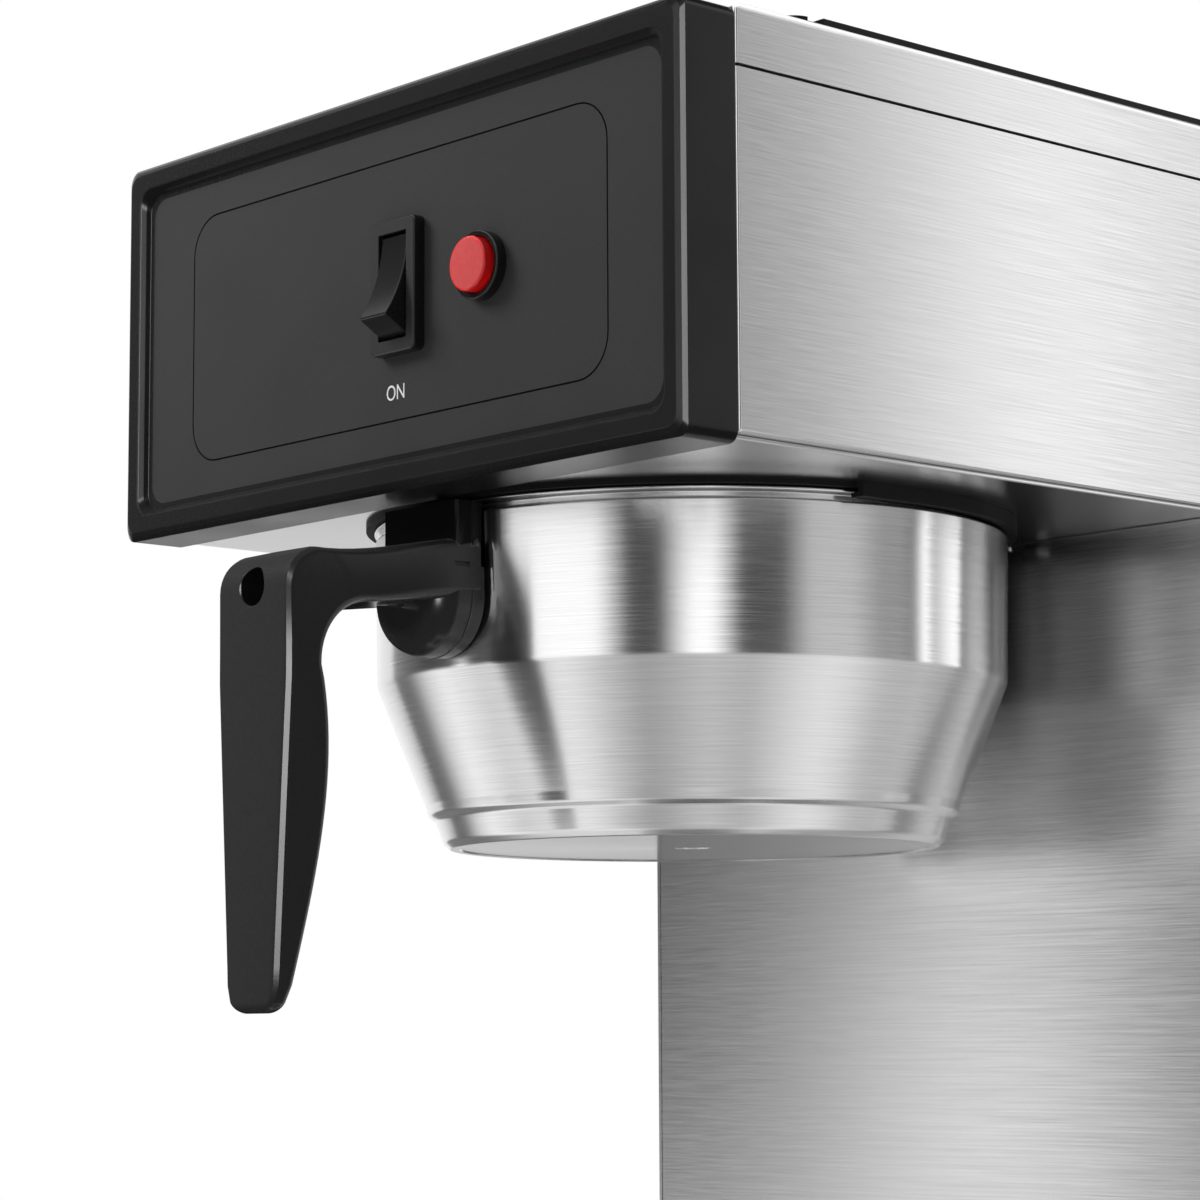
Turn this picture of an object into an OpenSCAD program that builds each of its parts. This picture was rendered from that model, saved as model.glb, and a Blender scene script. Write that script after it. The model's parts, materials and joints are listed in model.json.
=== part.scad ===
// Airpot coffee brewer: a tall steel body with a front bezel, a column and a base,
// a slide-out brew funnel with a drop handle, and a pour-in basin under a hinged lid.
// Millimetres. X runs right, Y to the back, Z up. The origin lies on the counter,
// midway between the sides and midway between the handle's front and the rear edge.

/* [Body] */
// Width of the body and of the bezel
body_w = 230; // [215:1:260]
// Depth from the bezel's face to the rear edge
body_d = 393; // [385:1:430]
// Height of the body's top above the counter
body_top = 620; // [600:1:680]
// Height of the head's sides, from the top down to the hem
head_h = 105; // [100:1:130]
// Thickness of the sheet steel
sheet = 1.2; // [0.8:0.1:2]
// Depth of the top cover's skirt down to the seam
top_skirt = 15.6; // [12:0.1:24]
// Width of the seam below the skirt
seam = 0.8; // [0.4:0.1:1.5]
// How far the rear cover is set in from the rear edge
rear_inset = 4; // [3:0.5:8]
// Width of the folded flanges
flange = 12; // [10:0.5:16]
// Clear space between the brew funnel and the column
column_gap = 5; // [4:0.5:10]

/* [Base] */
// Height of the base box
base_h = 36; // [28:1:50]
// Wall of the base box
base_wall = 1.5; // [1:0.1:2.5]
// Corner radius of the base box
base_r = 10; // [4:0.5:20]
// Height of the rubber feet
foot_h = 16; // [10:1:25]
// Radius of the rubber feet
foot_r = 14; // [11:0.5:18]
// How far the feet stand in from the base's edges
foot_in = 30; // [22:1:50]
// Radius of the mat that the airpot stands on
mat_r = 84; // [70:1:86]
// Thickness of the mat
mat_t = 2.5; // [2:0.1:4]

/* [Bezel] */
// Depth of the bezel
bezel_d = 18; // [15:0.5:26]
// How far the bezel's top lies below the body's top
bezel_low = 1.5; // [0:0.1:4]
// How far the bezel reaches below the hem
bezel_drop = 2.5; // [1.6:0.1:5]
// Width of the bezel's rim round the panel
bezel_rim = 8; // [6:0.5:14]
// Width of the flat outer band of the rim
band_w = 4.2; // [3:0.1:6]
// Step between the two bands of the rim
band_step = 1.1; // [0.5:0.1:2]
// Wall of the bezel
bezel_wall = 2.5; // [2:0.1:4]
// Corner radius of the bezel
bezel_r = 6; // [4.5:0.5:10]
// Fillet along the bezel's front edges
bezel_fillet = 4; // [2:0.5:4.5]
// How deep the panel lies behind the bezel's face
panel_in = 3; // [2:0.1:5]
// Thickness of the panel
panel_t = 2.5; // [2:0.1:4]
// Width of the line frame pressed into the panel
frame_w = 172; // [150:1:180]
// Height of the line frame
frame_h = 69; // [60:1:74]
// Corner radius of the line frame
frame_r = 11; // [6:0.5:20]
// Width of the pressed line
line_w = 0.9; // [0.5:0.1:1.5]
// Depth of the pressed line
line_depth = 0.4; // [0.2:0.1:0.8]

/* [Start switch] */
// Place of the switch, right of the middle
switch_x = 6.7; // [-20:0.1:15]
// Width of the switch's frame
switch_w = 18; // [16:0.5:22]
// Height of the switch's frame
switch_h = 35; // [32:0.5:42]
// How far the frame stands proud of the panel
switch_face = 3.5; // [2:0.1:5]
// Depth of the switch body behind the panel
switch_back = 24; // [18:1:30]
// Width of the rocker
rocker_w = 10.6; // [8:0.1:12]
// Radius of the rocker's ends about its pin
rocker_end = 13.6; // [12:0.1:14.5]
// How far the rocker's tip stands out from its pin
rocker_tip = 11; // [9:0.1:12]
// How far the rocker's tip lies below its pin
rocker_low = 8.9; // [7:0.1:10]
// Radius of the rocker's pin
rocker_pin_r = 1.5; // [1:0.1:2]
// Hollow of the rocker's face
rocker_hollow = 1.7; // [0.5:0.1:2.5]

/* [Lamp] */
// Place of the lamp, right of the middle
lamp_x = 39.3; // [32:0.1:60]
// Outer diameter of the lamp's ring
lamp_d = 17.6; // [15:0.1:22]
// How far the ring stands out
lamp_out = 3; // [2:0.1:4]
// Diameter of the red lens
lens_d = 14; // [10:0.1:14.5]
// How far the lens stands out from the panel
lens_out = 5.8; // [4.5:0.1:8]
// Diameter of the lamp's threaded body
lamp_body_d = 12; // [9:0.1:14]
// Depth of the lamp's body behind the panel
lamp_back = 26; // [18:1:30]

/* [Brew funnel] */
// Radius of the funnel's rim
funnel_r = 87.2; // [80:0.1:90]
// Place of the funnel's axis behind the bezel's face
funnel_y = 110; // [108:0.5:116]
// Height of the funnel's upright wall
wall_h = 42.7; // [36:0.1:60]
// Height of the cone below it
cone_h = 34; // [26:0.1:44]
// Radius at the foot of the cone
cone_r = 72.9; // [66:0.1:76]
// Radius at the top of the foot ring
ring_r = 69.8; // [64:0.1:72]
// Radius at the bottom of the foot ring
ring_low_r = 66.9; // [60:0.1:68]
// Height of the foot ring with its step
ring_h = 10.1; // [8:0.1:14]
// Sheet of the funnel
funnel_t = 1.2; // [0.8:0.1:1.6]
// Radius of the drain hole
drain_r = 5; // [3:0.1:8]
// Room between the bezel and the rim
rim_clear = 0.3; // [0.2:0.1:1]
// Thickness of the rim
rim_t = 0.8; // [0.6:0.1:1]
// Depth of the groove under the rim
groove_d = 2.8; // [2.4:0.1:4]
// Height of the groove under the rim
groove_h = 2; // [1.8:0.1:3]
// Radius of the wires of the rack in the funnel
wire_r = 1.3; // [1:0.1:2]
// Radius of the rack
rack_r = 58; // [50:0.5:59]
// Height of the rack above the funnel's floor
rack_h = 8; // [6:0.5:14]

/* [Handle] */
// How far the grip stands in front of the bezel's face
handle_reach = 39; // [34:0.5:50]
// Width of the grip at its top
grip_w = 30.4; // [26:0.2:34]
// Width of the grip at its bottom
grip_low_w = 21.4; // [16:0.2:24]
// Thickness of the grip at its neck
grip_t = 11.6; // [9:0.1:13]
// Thickness of the grip at its belly
grip_belly = 14.8; // [13:0.1:17]
// Length of the grip from the arm's top down
grip_len = 114.6; // [95:0.1:130]
// Depth of the arm's top below the rim
arm_drop = 17.2; // [14:0.1:22]
// Rise of the arm towards the funnel
arm_rise = 7; // [2:0.1:9]
// Thickness of the arm
arm_t = 12.4; // [12.2:0.1:18]
// Radius of the inner corner between arm and grip
neck_r = 16; // [12:0.5:20]
// Half width of the pad that rests on the funnel
pad_r = 15.2; // [14:0.1:18]
// Thickness of the pad's edge
pad_edge = 4.2; // [3:0.1:6]
// How far the pad's dome stands out from the funnel
pad_t = 12; // [9:0.1:14]
// Height of the pad up to the arm's top
pad_h = 30.6; // [28:0.1:34]
// Thickness of the pad above the arm
lug_t = 9; // [7:0.1:11]
// Depth of the pad's top below the rim
lug_drop = 1.2; // [1:0.1:3]
// Radius of the screw's access hole
access_r = 4.9; // [4.5:0.1:5.2]
// Depth of the screw's access hole
access_d = 13; // [11:0.5:14]
// Height of the screw below the arm's top
screw_drop = 9.6; // [9.2:0.1:9.8]
// Radius of the handle's screw
handle_screw_r = 1.6; // [1.4:0.1:1.8]

/* [Lid and basin] */
// Width of the lid
lid_w = 200; // [180:1:206]
// Place of the lid's front edge behind the bezel's face
lid_y = 52; // [46:0.5:60]
// Length of the lid
lid_len = 180; // [150:1:186]
// Height of the lid's top above the cover
lid_h = 7.2; // [6.8:0.1:12]
// Thickness of the lid
lid_t = 2.5; // [2:0.1:3]
// Thickness of the frame round the pour-in opening
collar_t = 2; // [1.5:0.1:3]
// Width of the pour-in opening
pour_w = 168; // [140:1:170]
// Radius of the lid's hinge pin
lid_pin_r = 1.5; // [1:0.1:1.8]
// Depth of the basin below the cover
basin_h = 70; // [60:0.5:72]
// Wall of the basin
basin_t = 2; // [1.5:0.1:3]

/* [Water works] */
// Radius of the hot tank
tank_r = 76; // [60:1:77]
// Height of the hot tank
tank_h = 238; // [180:1:260]
// Height of the tank's lid below the hem
tank_drop = 23; // [20:1:40]
// Width of the tank's rim
tank_rim = 8; // [7:0.5:9]
// Radius of the water tubes
tube_r = 5; // [4:0.1:6]
// Radius of the tubes' bends
bend_r = 10; // [8:0.5:11]
// Radius of the spray head
spray_r = 30; // [24:0.5:40]
// Radius of the heating rod
rod_r = 4; // [3:0.1:5]
// Half width of the heating loop
rod_half = 14; // [10:0.5:18]

/* [Electrics] */
// Height of the power inlet above the base
inlet_up = 70; // [50:1:120]
// Place of the power inlet, left of the middle
inlet_left = 40; // [25:1:60]
// Place of the power switch, right of the middle
power_right = 20; // [10:1:50]
// Width of the control board
board_w = 120; // [100:1:150]
// Height of the control board
board_h = 90; // [80:1:110]
// Height of the control board above the base
board_up = 60; // [40:1:80]
// Length of the board's standoffs
standoff = 10; // [6:0.5:14]

/* [Hidden] */
$fn = 64;

// Colours of the parts
steel = "#c4c5c7";
inner_steel = "#a9abad";
black = "#26272a";
panel_black = "#2d2e31";
rubber_black = "#191a1b";
lens_red = "#d8322f";
white_part = "#e4e4e0";
brass_part = "#b8964e";
board_green = "#2f6b45";

// Clearances: seated pieces, running pins, and pieces that slide past each other
seat = 0.1;
pin_gap = 0.05;
slide_gap = 0.3;
over = 1;

// Planes across the depth
y_face = -(body_d - handle_reach) / 2;
y_rear = y_face + body_d;
y_bezel = y_face + bezel_d;
y_panel = y_face + panel_in;
y_panel_rear = y_panel + panel_t;
y_axis = y_face + funnel_y;
y_column = y_axis + funnel_r + column_gap;
y_cover = y_rear - rear_inset;
y_inside = y_cover - 2 * sheet;
y_tank = (y_column + sheet + y_inside) / 2;

// Planes across the width
x_side = body_w / 2;
x_in = x_side - sheet;

// Levels
z_base = foot_h + base_h;
z_hem = body_top - head_h;
z_seam = body_top - top_skirt;
z_side_top = z_seam - seam;
z_roof = body_top - sheet;
z_plate = z_hem - sheet;
z_bezel_top = body_top - bezel_low;
z_bezel_bottom = z_hem - bezel_drop;
bezel_h = z_bezel_top - z_bezel_bottom;
z_mid = (z_bezel_top + z_bezel_bottom) / 2;
z_rim = z_bezel_bottom - rim_clear;
z_groove = z_rim - rim_t;
z_wall = z_groove - groove_h;
z_shoulder = z_rim - wall_h;
z_cone = z_shoulder - cone_h;
z_floor = z_cone - ring_h;
z_arm = z_rim - arm_drop;
z_collar = body_top + collar_t;
z_lid = body_top + lid_h;
z_basin = body_top - basin_h;
z_tube = (z_hem + z_basin) / 2;
z_tank_top = z_hem - tank_drop;
z_tank = z_tank_top - tank_h;

// Fasteners
screw_r = 1.7;
screw_hole_r = screw_r + seat;
screw_head_r = 3.4;
screw_head_h = 1.8;
screw_len = 9;

// The bezel's screws and the feet stand at these places
bezel_screw_in = 4.2;
bezel_screw_edge = 22;
bezel_screw_x = x_side - bezel_wall - bezel_screw_in;
bezel_screw_z = bezel_h / 2 - bezel_screw_edge;
boss_r = 4.4;
foot_places = [for (x = [-1, 1], y = [y_face + foot_in, y_rear - foot_in]) [x * (x_side - foot_in), y]];
foot_screw_r = 2.5;
foot_head_r = 4.5;
foot_well = 6.4;

// The rocker's pin lies a little behind the panel's face
y_rocker = y_panel + 1;
switch_hole_w = rocker_w + 2 * slide_gap;
switch_hole_h = 2 * (rocker_end + slide_gap);
switch_body_w = switch_w - 3;
switch_body_h = switch_h - 3;
switch_corner_r = 1.5;

// The lens sits on a floor a little in front of the panel's face
lens_seat = 0.6;

// The lid's hinge
y_lid = y_face + lid_y;
y_hinge = y_lid + lid_len + 4;
knuckle_r = lid_pin_r + 1.7;
z_hinge = body_top + knuckle_r + 0.4;
ear_w = 8;
knuckle_in = 30;
knuckle_x = [knuckle_in - lid_w / 2, lid_w / 2 - knuckle_in];
pour_front_in = 18;
pour_rear_in = 22;
pour_front = y_lid + pour_front_in;
pour_rear = y_lid + lid_len - pour_rear_in;
pour_corner_r = 14;
collar_edge = 12;

// The basin hangs in the pour-in opening
basin_w = lid_w - 2;
basin_lip = 5;
basin_front_in = 8;
basin_rear_in = 10;
basin_front = y_lid + basin_front_in;
basin_rear = y_lid + lid_len - basin_rear_in;
valve_x = -45;
valve_w = 30;
valve_d = 34;
valve_in = 18;
y_valve = basin_rear - basin_t - valve_in;
valve_h = 20;
outlet_r = 5;
coil_r = 9.5;
coil_len = 30;

// Water tubes
y_spray_riser = y_tank - 45;
y_fill = y_tank - 8;

// Screws down the rear cover's edges, and two in the top cover's rear skirt
rear_screw_x = x_in - flange / 2;
rear_screw_levels = [for (i = [0:3]) z_base + 24 + i * (z_side_top - z_base - 48) / 3];
skirt_screw_z = z_roof - (top_skirt - seam) / 2;

// Power inlet and power switch on the rear cover
inlet_z = z_base + inlet_up;
inlet_w = 27.4;
inlet_h = 20;
inlet_flange_w = 50;
inlet_flange_h = 24;
inlet_flange_t = 2.4;
inlet_depth = 20;
inlet_hole_x = 20;
socket_w = 24;
socket_h = 16;
socket_d = 16;
blade_len = 9;
power_w = 15;
power_h = 21;
power_flange_t = 2;
power_back = 16;
power_rocker_w = 9;
power_end = 7.6;
power_pin_r = 1.2;
y_power = y_cover - 1;

// The guide's section: roof, web and a lip that reaches into the funnel's groove
guide_in_r = funnel_r - groove_d + 0.7;
guide_web_r = funnel_r + slide_gap;
guide_out_r = guide_web_r + 2;
guide_lip_t = 1.2;
guide_lip_top = z_groove - slide_gap;
guide_roof = z_rim + slide_gap;
guide_lead = 24;
guide_ear_t = 1.8;
guide_ear_r = 5;
guide_screw_pcr = guide_out_r + 3.5;
guide_screw_places = [for (a = [65, 115]) [guide_screw_pcr * cos(a), y_axis + guide_screw_pcr * sin(a)]];

// The funnel's floor lies a little above its foot ring
floor_rise = 0.7;
floor_r = ring_low_r - 4;

// The funnel's wall draws in a little from the rim to the shoulder
wall_r = funnel_r - 0.2;
shoulder_r = funnel_r - 1;

// Side view of the handle: depth from the bezel's face, height from the arm's top
handle_front = -handle_reach;
neck = [handle_front + grip_t + neck_r, -arm_t - neck_r];
wall_y = funnel_y - funnel_r;
grip_end_r = 2.8;

// The pad's flat back lies this far behind the foremost line of the funnel's wall
pad_back = 0.5;
lug_top = arm_drop - lug_drop;

// Spray head
spray_t = 1.5;
spray_edge = 4;
neck_tube_r = tube_r + 1.5;

// Tank: gasket, lid, the screws round it, and what passes through the lid
gasket_t = 2;
tank_lid_t = 2;
z_gasket = z_tank_top - tank_lid_t - gasket_t;
tank_screw_count = 8;
tank_screw_pcr = tank_r + tank_rim / 2;
tank_screw_places = [for (i = [0:tank_screw_count - 1]) let (a = (i + 0.5) * 360 / tank_screw_count)
  [tank_screw_pcr * cos(a), y_tank + tank_screw_pcr * sin(a)]];
heater_back = 24;
heater_y = y_tank + heater_back;
heater_flange_r = rod_half + rod_r + 5;
probe_x = 45;
probe_r = 3;

// Control board behind the column's front sheet
z_board = z_base + board_up + board_h / 2;
y_board = y_column + sheet + standoff;
board_t = 1.6;
board_screw_in = 6;
board_screw_x = board_w / 2 - board_screw_in;
board_screw_z = board_h / 2 - board_screw_in;

// A box given by its two corners
module box(a, b) {
  translate(a) cube(b - a);
}

// A flat rectangle with round corners, centred
module round_rect(w, h, r) {
  square([w - 2 * r, h], center = true);
  square([w, h - 2 * r], center = true);
  for (x = [-1, 1], y = [-1, 1]) translate([x * (w / 2 - r), y * (h / 2 - r)]) circle(r);
}

// A flat slot with half-round ends, centred
module slot(w, h) {
  square([w - h, h], center = true);
  for (x = [-1, 1]) translate([x * (w - h) / 2, 0]) circle(h / 2);
}

// Stands a flat outline up in the XZ plane, from y to y + d
module upright(y, d) {
  translate([0, y + d, 0]) rotate([90, 0, 0]) linear_extrude(d) children();
}

// Stands a flat outline up in the YZ plane, from x to x + w
module sideways(x, w) {
  translate([x, 0, 0]) rotate([90, 0, 90]) linear_extrude(w) children();
}

// A cylinder along Y, from y to y + d
module rod_y(x, y, z, r, d) {
  translate([x, y, z]) rotate([-90, 0, 0]) cylinder(r = r, h = d);
}

// A cylinder along X, from x to x + w
module rod_x(x, y, z, r, w) {
  translate([x, y, z]) rotate([0, 90, 0]) cylinder(r = r, h = w);
}

// A cylinder along Z, from z to z + h
module rod_z(x, y, z, r, h) {
  translate([x, y, z]) cylinder(r = r, h = h);
}

// A quarter bend in the YZ plane about the X axis through the given centre
module bend_yz(x, y, z, from) {
  translate([x, y, z]) rotate([0, 90, 0]) rotate([0, 0, from])
    rotate_extrude(angle = 90) translate([bend_r, 0]) circle(tube_r);
}

// A screw along Y with its head towards +Y, seated on the plane y
module rear_screw(x, y, z) {
  rod_y(x, y, z, screw_head_r, screw_head_h);
  rod_y(x, y - screw_len, z, screw_r, screw_len + over / 2);
}

// Outline of the base box, drawn in by an inset
module base_outline(inset) {
  translate([0, (y_face + y_rear) / 2])
    round_rect(body_w - 2 * inset, body_d - 2 * inset, base_r - inset);
}

// Base: a folded box, open below, with a hole for the wires under the column
module base_shell() {
  wire_hole_r = 14;
  color(steel) difference() {
    translate([0, 0, foot_h]) linear_extrude(base_h) base_outline(0);
    translate([0, 0, foot_h - over]) linear_extrude(base_h - base_wall + over) base_outline(base_wall);
    rod_z(0, y_tank, z_base - 2 * base_wall, wire_hole_r, 4 * base_wall);
  }
}

// Bottom plate inside the base box
module base_plate() {
  color(inner_steel) difference() {
    translate([0, 0, foot_h]) linear_extrude(sheet) base_outline(base_wall + seat);
    for (p = foot_places) rod_z(p.x, p.y, foot_h - over, foot_screw_r + seat, sheet + 2 * over);
  }
}

// Rubber feet, tapered, each with a well for its screw
module rubber_feet() {
  foot_low_r = foot_r - 1.5;
  edge = 1;
  color(rubber_black) for (p = foot_places) translate([p.x, p.y, 0]) rotate_extrude()
    polygon([[foot_head_r + seat, 0], [foot_low_r - edge, 0], [foot_low_r, edge], [foot_r, foot_h],
             [foot_screw_r + seat, foot_h], [foot_screw_r + seat, foot_well],
             [foot_head_r + seat, foot_well]]);
}

// Screws that hold the feet
module foot_screws() {
  head_h = 2.5;
  thread = 4;
  color(inner_steel) for (p = foot_places) {
    rod_z(p.x, p.y, foot_well - head_h, foot_head_r, head_h);
    rod_z(p.x, p.y, foot_well - head_h, foot_screw_r, foot_h - foot_well + head_h + sheet + thread);
  }
}

// Round ribbed mat under the airpot
module airpot_mat() {
  groove_depth = 0.8;
  groove_w = 2;
  color(rubber_black) difference() {
    rod_z(0, y_axis, z_base, mat_r, mat_t);
    for (r = [mat_r * 0.3, mat_r * 0.5, mat_r * 0.7, mat_r * 0.88])
      translate([0, y_axis, z_base + mat_t - groove_depth]) difference() {
        cylinder(r = r + groove_w, h = groove_depth + over);
        translate([0, 0, -over]) cylinder(r = r, h = groove_depth + 3 * over);
      }
  }
}

// Front sheet of the column, with a return down each side
module column_front() {
  half = x_in - seat;
  color(steel) union() {
    box([-half, y_column, z_base], [half, y_column + sheet, z_plate]);
    for (s = [-1, 1]) translate([s * (half - sheet / 2) - sheet / 2, y_column + sheet, z_base])
      cube([sheet, flange, z_plate - z_base]);
  }
}

// One side of the body: head and column in one sheet, with folded flanges.
// It is drawn on the right and mirrored for the left.
module side_sheet() {
  difference() {
    union() {
      sideways(x_in, sheet) polygon([[y_bezel, z_hem], [y_bezel, z_side_top], [y_rear, z_side_top],
        [y_rear, z_base], [y_column, z_base], [y_column, z_hem]]);
      box([x_in - sheet, y_bezel + sheet + seat, z_hem + flange], [x_in, y_cover - 2 * flange, z_roof]);
      box([x_in - flange, y_bezel, z_hem], [x_in, y_bezel + sheet, z_side_top]);
      box([x_in - flange, y_bezel, z_hem], [x_in, y_column, z_hem + sheet]);
      box([x_in - flange, y_cover - 2 * sheet, z_base], [x_in, y_cover - sheet, z_roof]);
      box([x_in - flange, y_column + sheet + flange, z_base], [x_in, y_cover - sheet, z_base + sheet]);
    }
    for (z = [z_mid - bezel_screw_z, z_mid + bezel_screw_z])
      rod_y(bezel_screw_x, y_bezel - over, z, screw_hole_r, sheet + 2 * over);
    for (z = concat(rear_screw_levels, skirt_screw_z))
      rod_y(rear_screw_x, y_cover - 2 * sheet - over, z, screw_hole_r, sheet + 2 * over);
  }
}

module left_side() {
  color(steel) mirror([1, 0, 0]) side_sheet();
}

module right_side() {
  color(steel) side_sheet();
}

// Rear cover with vents, and cut-outs for the power inlet and the power switch
module rear_cover() {
  half = x_in - seat;
  vent_w = 60;
  vent_h = 4;
  vent_pitch = 14;
  vent_x = 45;
  color(steel) difference() {
    box([-half, y_cover - sheet, z_base], [half, y_cover, z_side_top]);
    for (x = [-1, 1], i = [1:6]) translate([x * vent_x, 0, z_hem - i * vent_pitch])
      upright(y_cover - sheet - over, sheet + 2 * over) slot(vent_w, vent_h);
    for (x = [-1, 1], z = rear_screw_levels)
      rod_y(x * rear_screw_x, y_cover - sheet - over, z, screw_hole_r, sheet + 2 * over);
    translate([-inlet_left, 0, inlet_z]) upright(y_cover - sheet - over, sheet + 2 * over)
      square([inlet_w + 2 * seat, inlet_h + 2 * seat], center = true);
    for (x = [-1, 1]) rod_y(-inlet_left + x * inlet_hole_x, y_cover - sheet - over, inlet_z,
                            screw_hole_r, sheet + 2 * over);
    translate([power_right, 0, inlet_z]) upright(y_cover - sheet - over, sheet + 2 * over)
      square([power_w - 2 + 2 * seat, power_h - 2 + 2 * seat], center = true);
  }
}

// Screws of the rear cover and of the top cover's rear skirt
module rear_screws() {
  color(inner_steel) {
    for (x = [-1, 1], z = rear_screw_levels) rear_screw(x * rear_screw_x, y_cover, z);
    for (x = [-1, 1]) rear_screw(x * rear_screw_x, y_cover, skirt_screw_z);
  }
}

// Top cover: a shallow pan upside down, with the pour-in opening
module top_cover() {
  z_low = z_seam;
  color(steel) difference() {
    union() {
      box([-x_side, y_bezel, z_roof], [x_side, y_rear, body_top]);
      for (s = [-1, 1]) translate([s * (x_side - sheet / 2) - sheet / 2, y_bezel, z_low])
        cube([sheet, body_d - bezel_d, z_roof - z_low]);
      box([-x_in, y_bezel, z_low], [x_in, y_bezel + sheet, z_roof]);
      box([-x_in, y_cover - sheet, z_low], [x_in, y_cover, z_roof]);
    }
    pour_opening(z_roof - over, sheet + 2 * over, 0);
    for (x = [-1, 1]) rod_y(x * rear_screw_x, y_cover - sheet - over, skirt_screw_z,
                            screw_hole_r, sheet + 2 * over);
  }
}

// The pour-in opening as a block, grown by a margin
module pour_opening(z, h, grow) {
  translate([0, (pour_front + pour_rear) / 2, z]) linear_extrude(h)
    round_rect(pour_w + 2 * grow, pour_rear - pour_front + 2 * grow, pour_corner_r + grow);
}

// Plate that closes the head from below, with the hole for the spray head
module underside_plate() {
  color(steel) difference() {
    box([-x_side + 2 * sheet, y_bezel, z_plate], [x_side - 2 * sheet, y_column + sheet, z_hem]);
    rod_z(0, y_axis, z_plate - over, spray_r - spray_edge, sheet + 2 * over);
    for (p = guide_screw_places) rod_z(p.x, p.y, z_plate - over, screw_hole_r, sheet + 2 * over);
  }
}

// A bar with round corners and a fillet round its front face
module bezel_block() {
  hull() {
    for (x = [-1, 1], z = [-1, 1])
      translate([x * (body_w / 2 - bezel_r), y_bezel, z_mid + z * (bezel_h / 2 - bezel_r)])
        rotate([90, 0, 0]) rotate_extrude($fn = 32) intersection() {
          square([bezel_r, bezel_d]);
          union() {
            square([bezel_r, bezel_d - bezel_fillet]);
            square([bezel_r - bezel_fillet, bezel_d]);
            translate([bezel_r - bezel_fillet, bezel_d - bezel_fillet]) circle(bezel_fillet);
          }
        }
  }
}

// Bezel: rim in two bands round the sunken panel, walls behind, and four screw bosses
module front_bezel() {
  window_r = 9;
  boss_floor = 2;
  color(black) difference() {
    union() {
      difference() {
        bezel_block();
        translate([0, 0, z_mid]) upright(y_face - over, panel_in + 2 * over)
          round_rect(body_w - 2 * bezel_rim, bezel_h - 2 * bezel_rim, window_r);
        translate([0, 0, z_mid]) upright(y_face - over, band_step + over)
          round_rect(body_w - 2 * band_w, bezel_h - 2 * band_w, bezel_r + 2);
        translate([0, 0, z_mid]) upright(y_panel, bezel_d)
          round_rect(body_w - 2 * bezel_wall, bezel_h - 2 * bezel_wall, bezel_r - bezel_wall);
      }
      for (x = [-1, 1], z = [-1, 1])
        rod_y(x * bezel_screw_x, y_panel_rear, z_mid + z * bezel_screw_z, boss_r,
              y_bezel - y_panel_rear);
    }
    for (x = [-1, 1], z = [-1, 1])
      rod_y(x * bezel_screw_x, y_panel_rear + boss_floor, z_mid + z * bezel_screw_z,
            screw_hole_r, bezel_d);
  }
}

// Sunken panel with its pressed line frame and the cut-outs for switch and lamp
module control_panel() {
  color(panel_black) difference() {
    translate([0, 0, z_mid]) upright(y_panel, panel_t)
      round_rect(body_w - 2 * bezel_wall - 2 * seat, bezel_h - 2 * bezel_wall - 2 * seat,
                 bezel_r - bezel_wall);
    translate([0, 0, z_mid]) upright(y_panel - over, line_depth + over) difference() {
      round_rect(frame_w, frame_h, frame_r);
      round_rect(frame_w - 2 * line_w, frame_h - 2 * line_w, frame_r - line_w);
    }
    translate([switch_x, 0, z_mid]) upright(y_panel - over, panel_t + 2 * over)
      square([switch_body_w + 2 * seat, switch_body_h + 2 * seat], center = true);
    rod_y(lamp_x, y_panel - over, z_mid, lamp_body_d / 2 + seat, panel_t + 2 * over);
  }
}

// Screws from the body's front flanges into the bezel
module bezel_screws() {
  color(inner_steel) for (x = [-1, 1], z = [-1, 1])
    rear_screw(x * bezel_screw_x, y_bezel + sheet, z_mid + z * bezel_screw_z);
}

// Start switch: frame in front of the panel and body behind, hollow round the rocker
module switch_housing() {
  pocket = rocker_end + slide_gap;
  color(black) difference() {
    union() {
      translate([switch_x, 0, z_mid]) upright(y_panel - switch_face, switch_face)
        round_rect(switch_w, switch_h, switch_corner_r);
      translate([switch_x, 0, z_mid]) upright(y_panel, switch_back)
        square([switch_body_w, switch_body_h], center = true);
    }
    translate([switch_x, 0, z_mid]) upright(y_panel - switch_face - over, switch_face + over + 1)
      square([switch_hole_w, switch_hole_h], center = true);
    rod_x(switch_x - switch_hole_w / 2, y_rocker, z_mid, pocket, switch_hole_w);
    rod_x(switch_x - switch_w, y_rocker, z_mid, rocker_pin_r, 2 * switch_w);
  }
}

// Start rocker: hollow face, tip standing out below, round ends about the pin
module start_rocker() {
  back = 5;
  top_out = 3.6;
  low_out = 4;
  top = [-top_out, sqrt(pow(rocker_end, 2) - pow(top_out, 2))];
  low = [-low_out, -sqrt(pow(rocker_end, 2) - pow(low_out, 2))];
  tip = [-rocker_tip, -rocker_low];
  back_angle = acos(back / rocker_end);
  chord = norm(top - tip);
  face_r = chord * chord / (8 * rocker_hollow) + rocker_hollow / 2;
  out = [tip.y - top.y, top.x - tip.x] / chord;
  face_c = (top + tip) / 2 + out * (face_r - rocker_hollow);
  color(black) translate([0, y_rocker, z_mid]) sideways(switch_x - rocker_w / 2, rocker_w)
    difference() {
      polygon(concat(arc([0, 0], rocker_end, atan2(top.y, top.x), back_angle, 6),
                     arc([0, 0], rocker_end, -back_angle, atan2(low.y, low.x), 6), [tip]));
      translate(face_c) circle(face_r, $fn = 128);
      circle(rocker_pin_r + pin_gap);
    }
}

// Pin of the start rocker
module rocker_pin() {
  color(inner_steel) rod_x(switch_x - switch_body_w / 2, y_rocker, z_mid, rocker_pin_r, switch_body_w);
}

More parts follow.
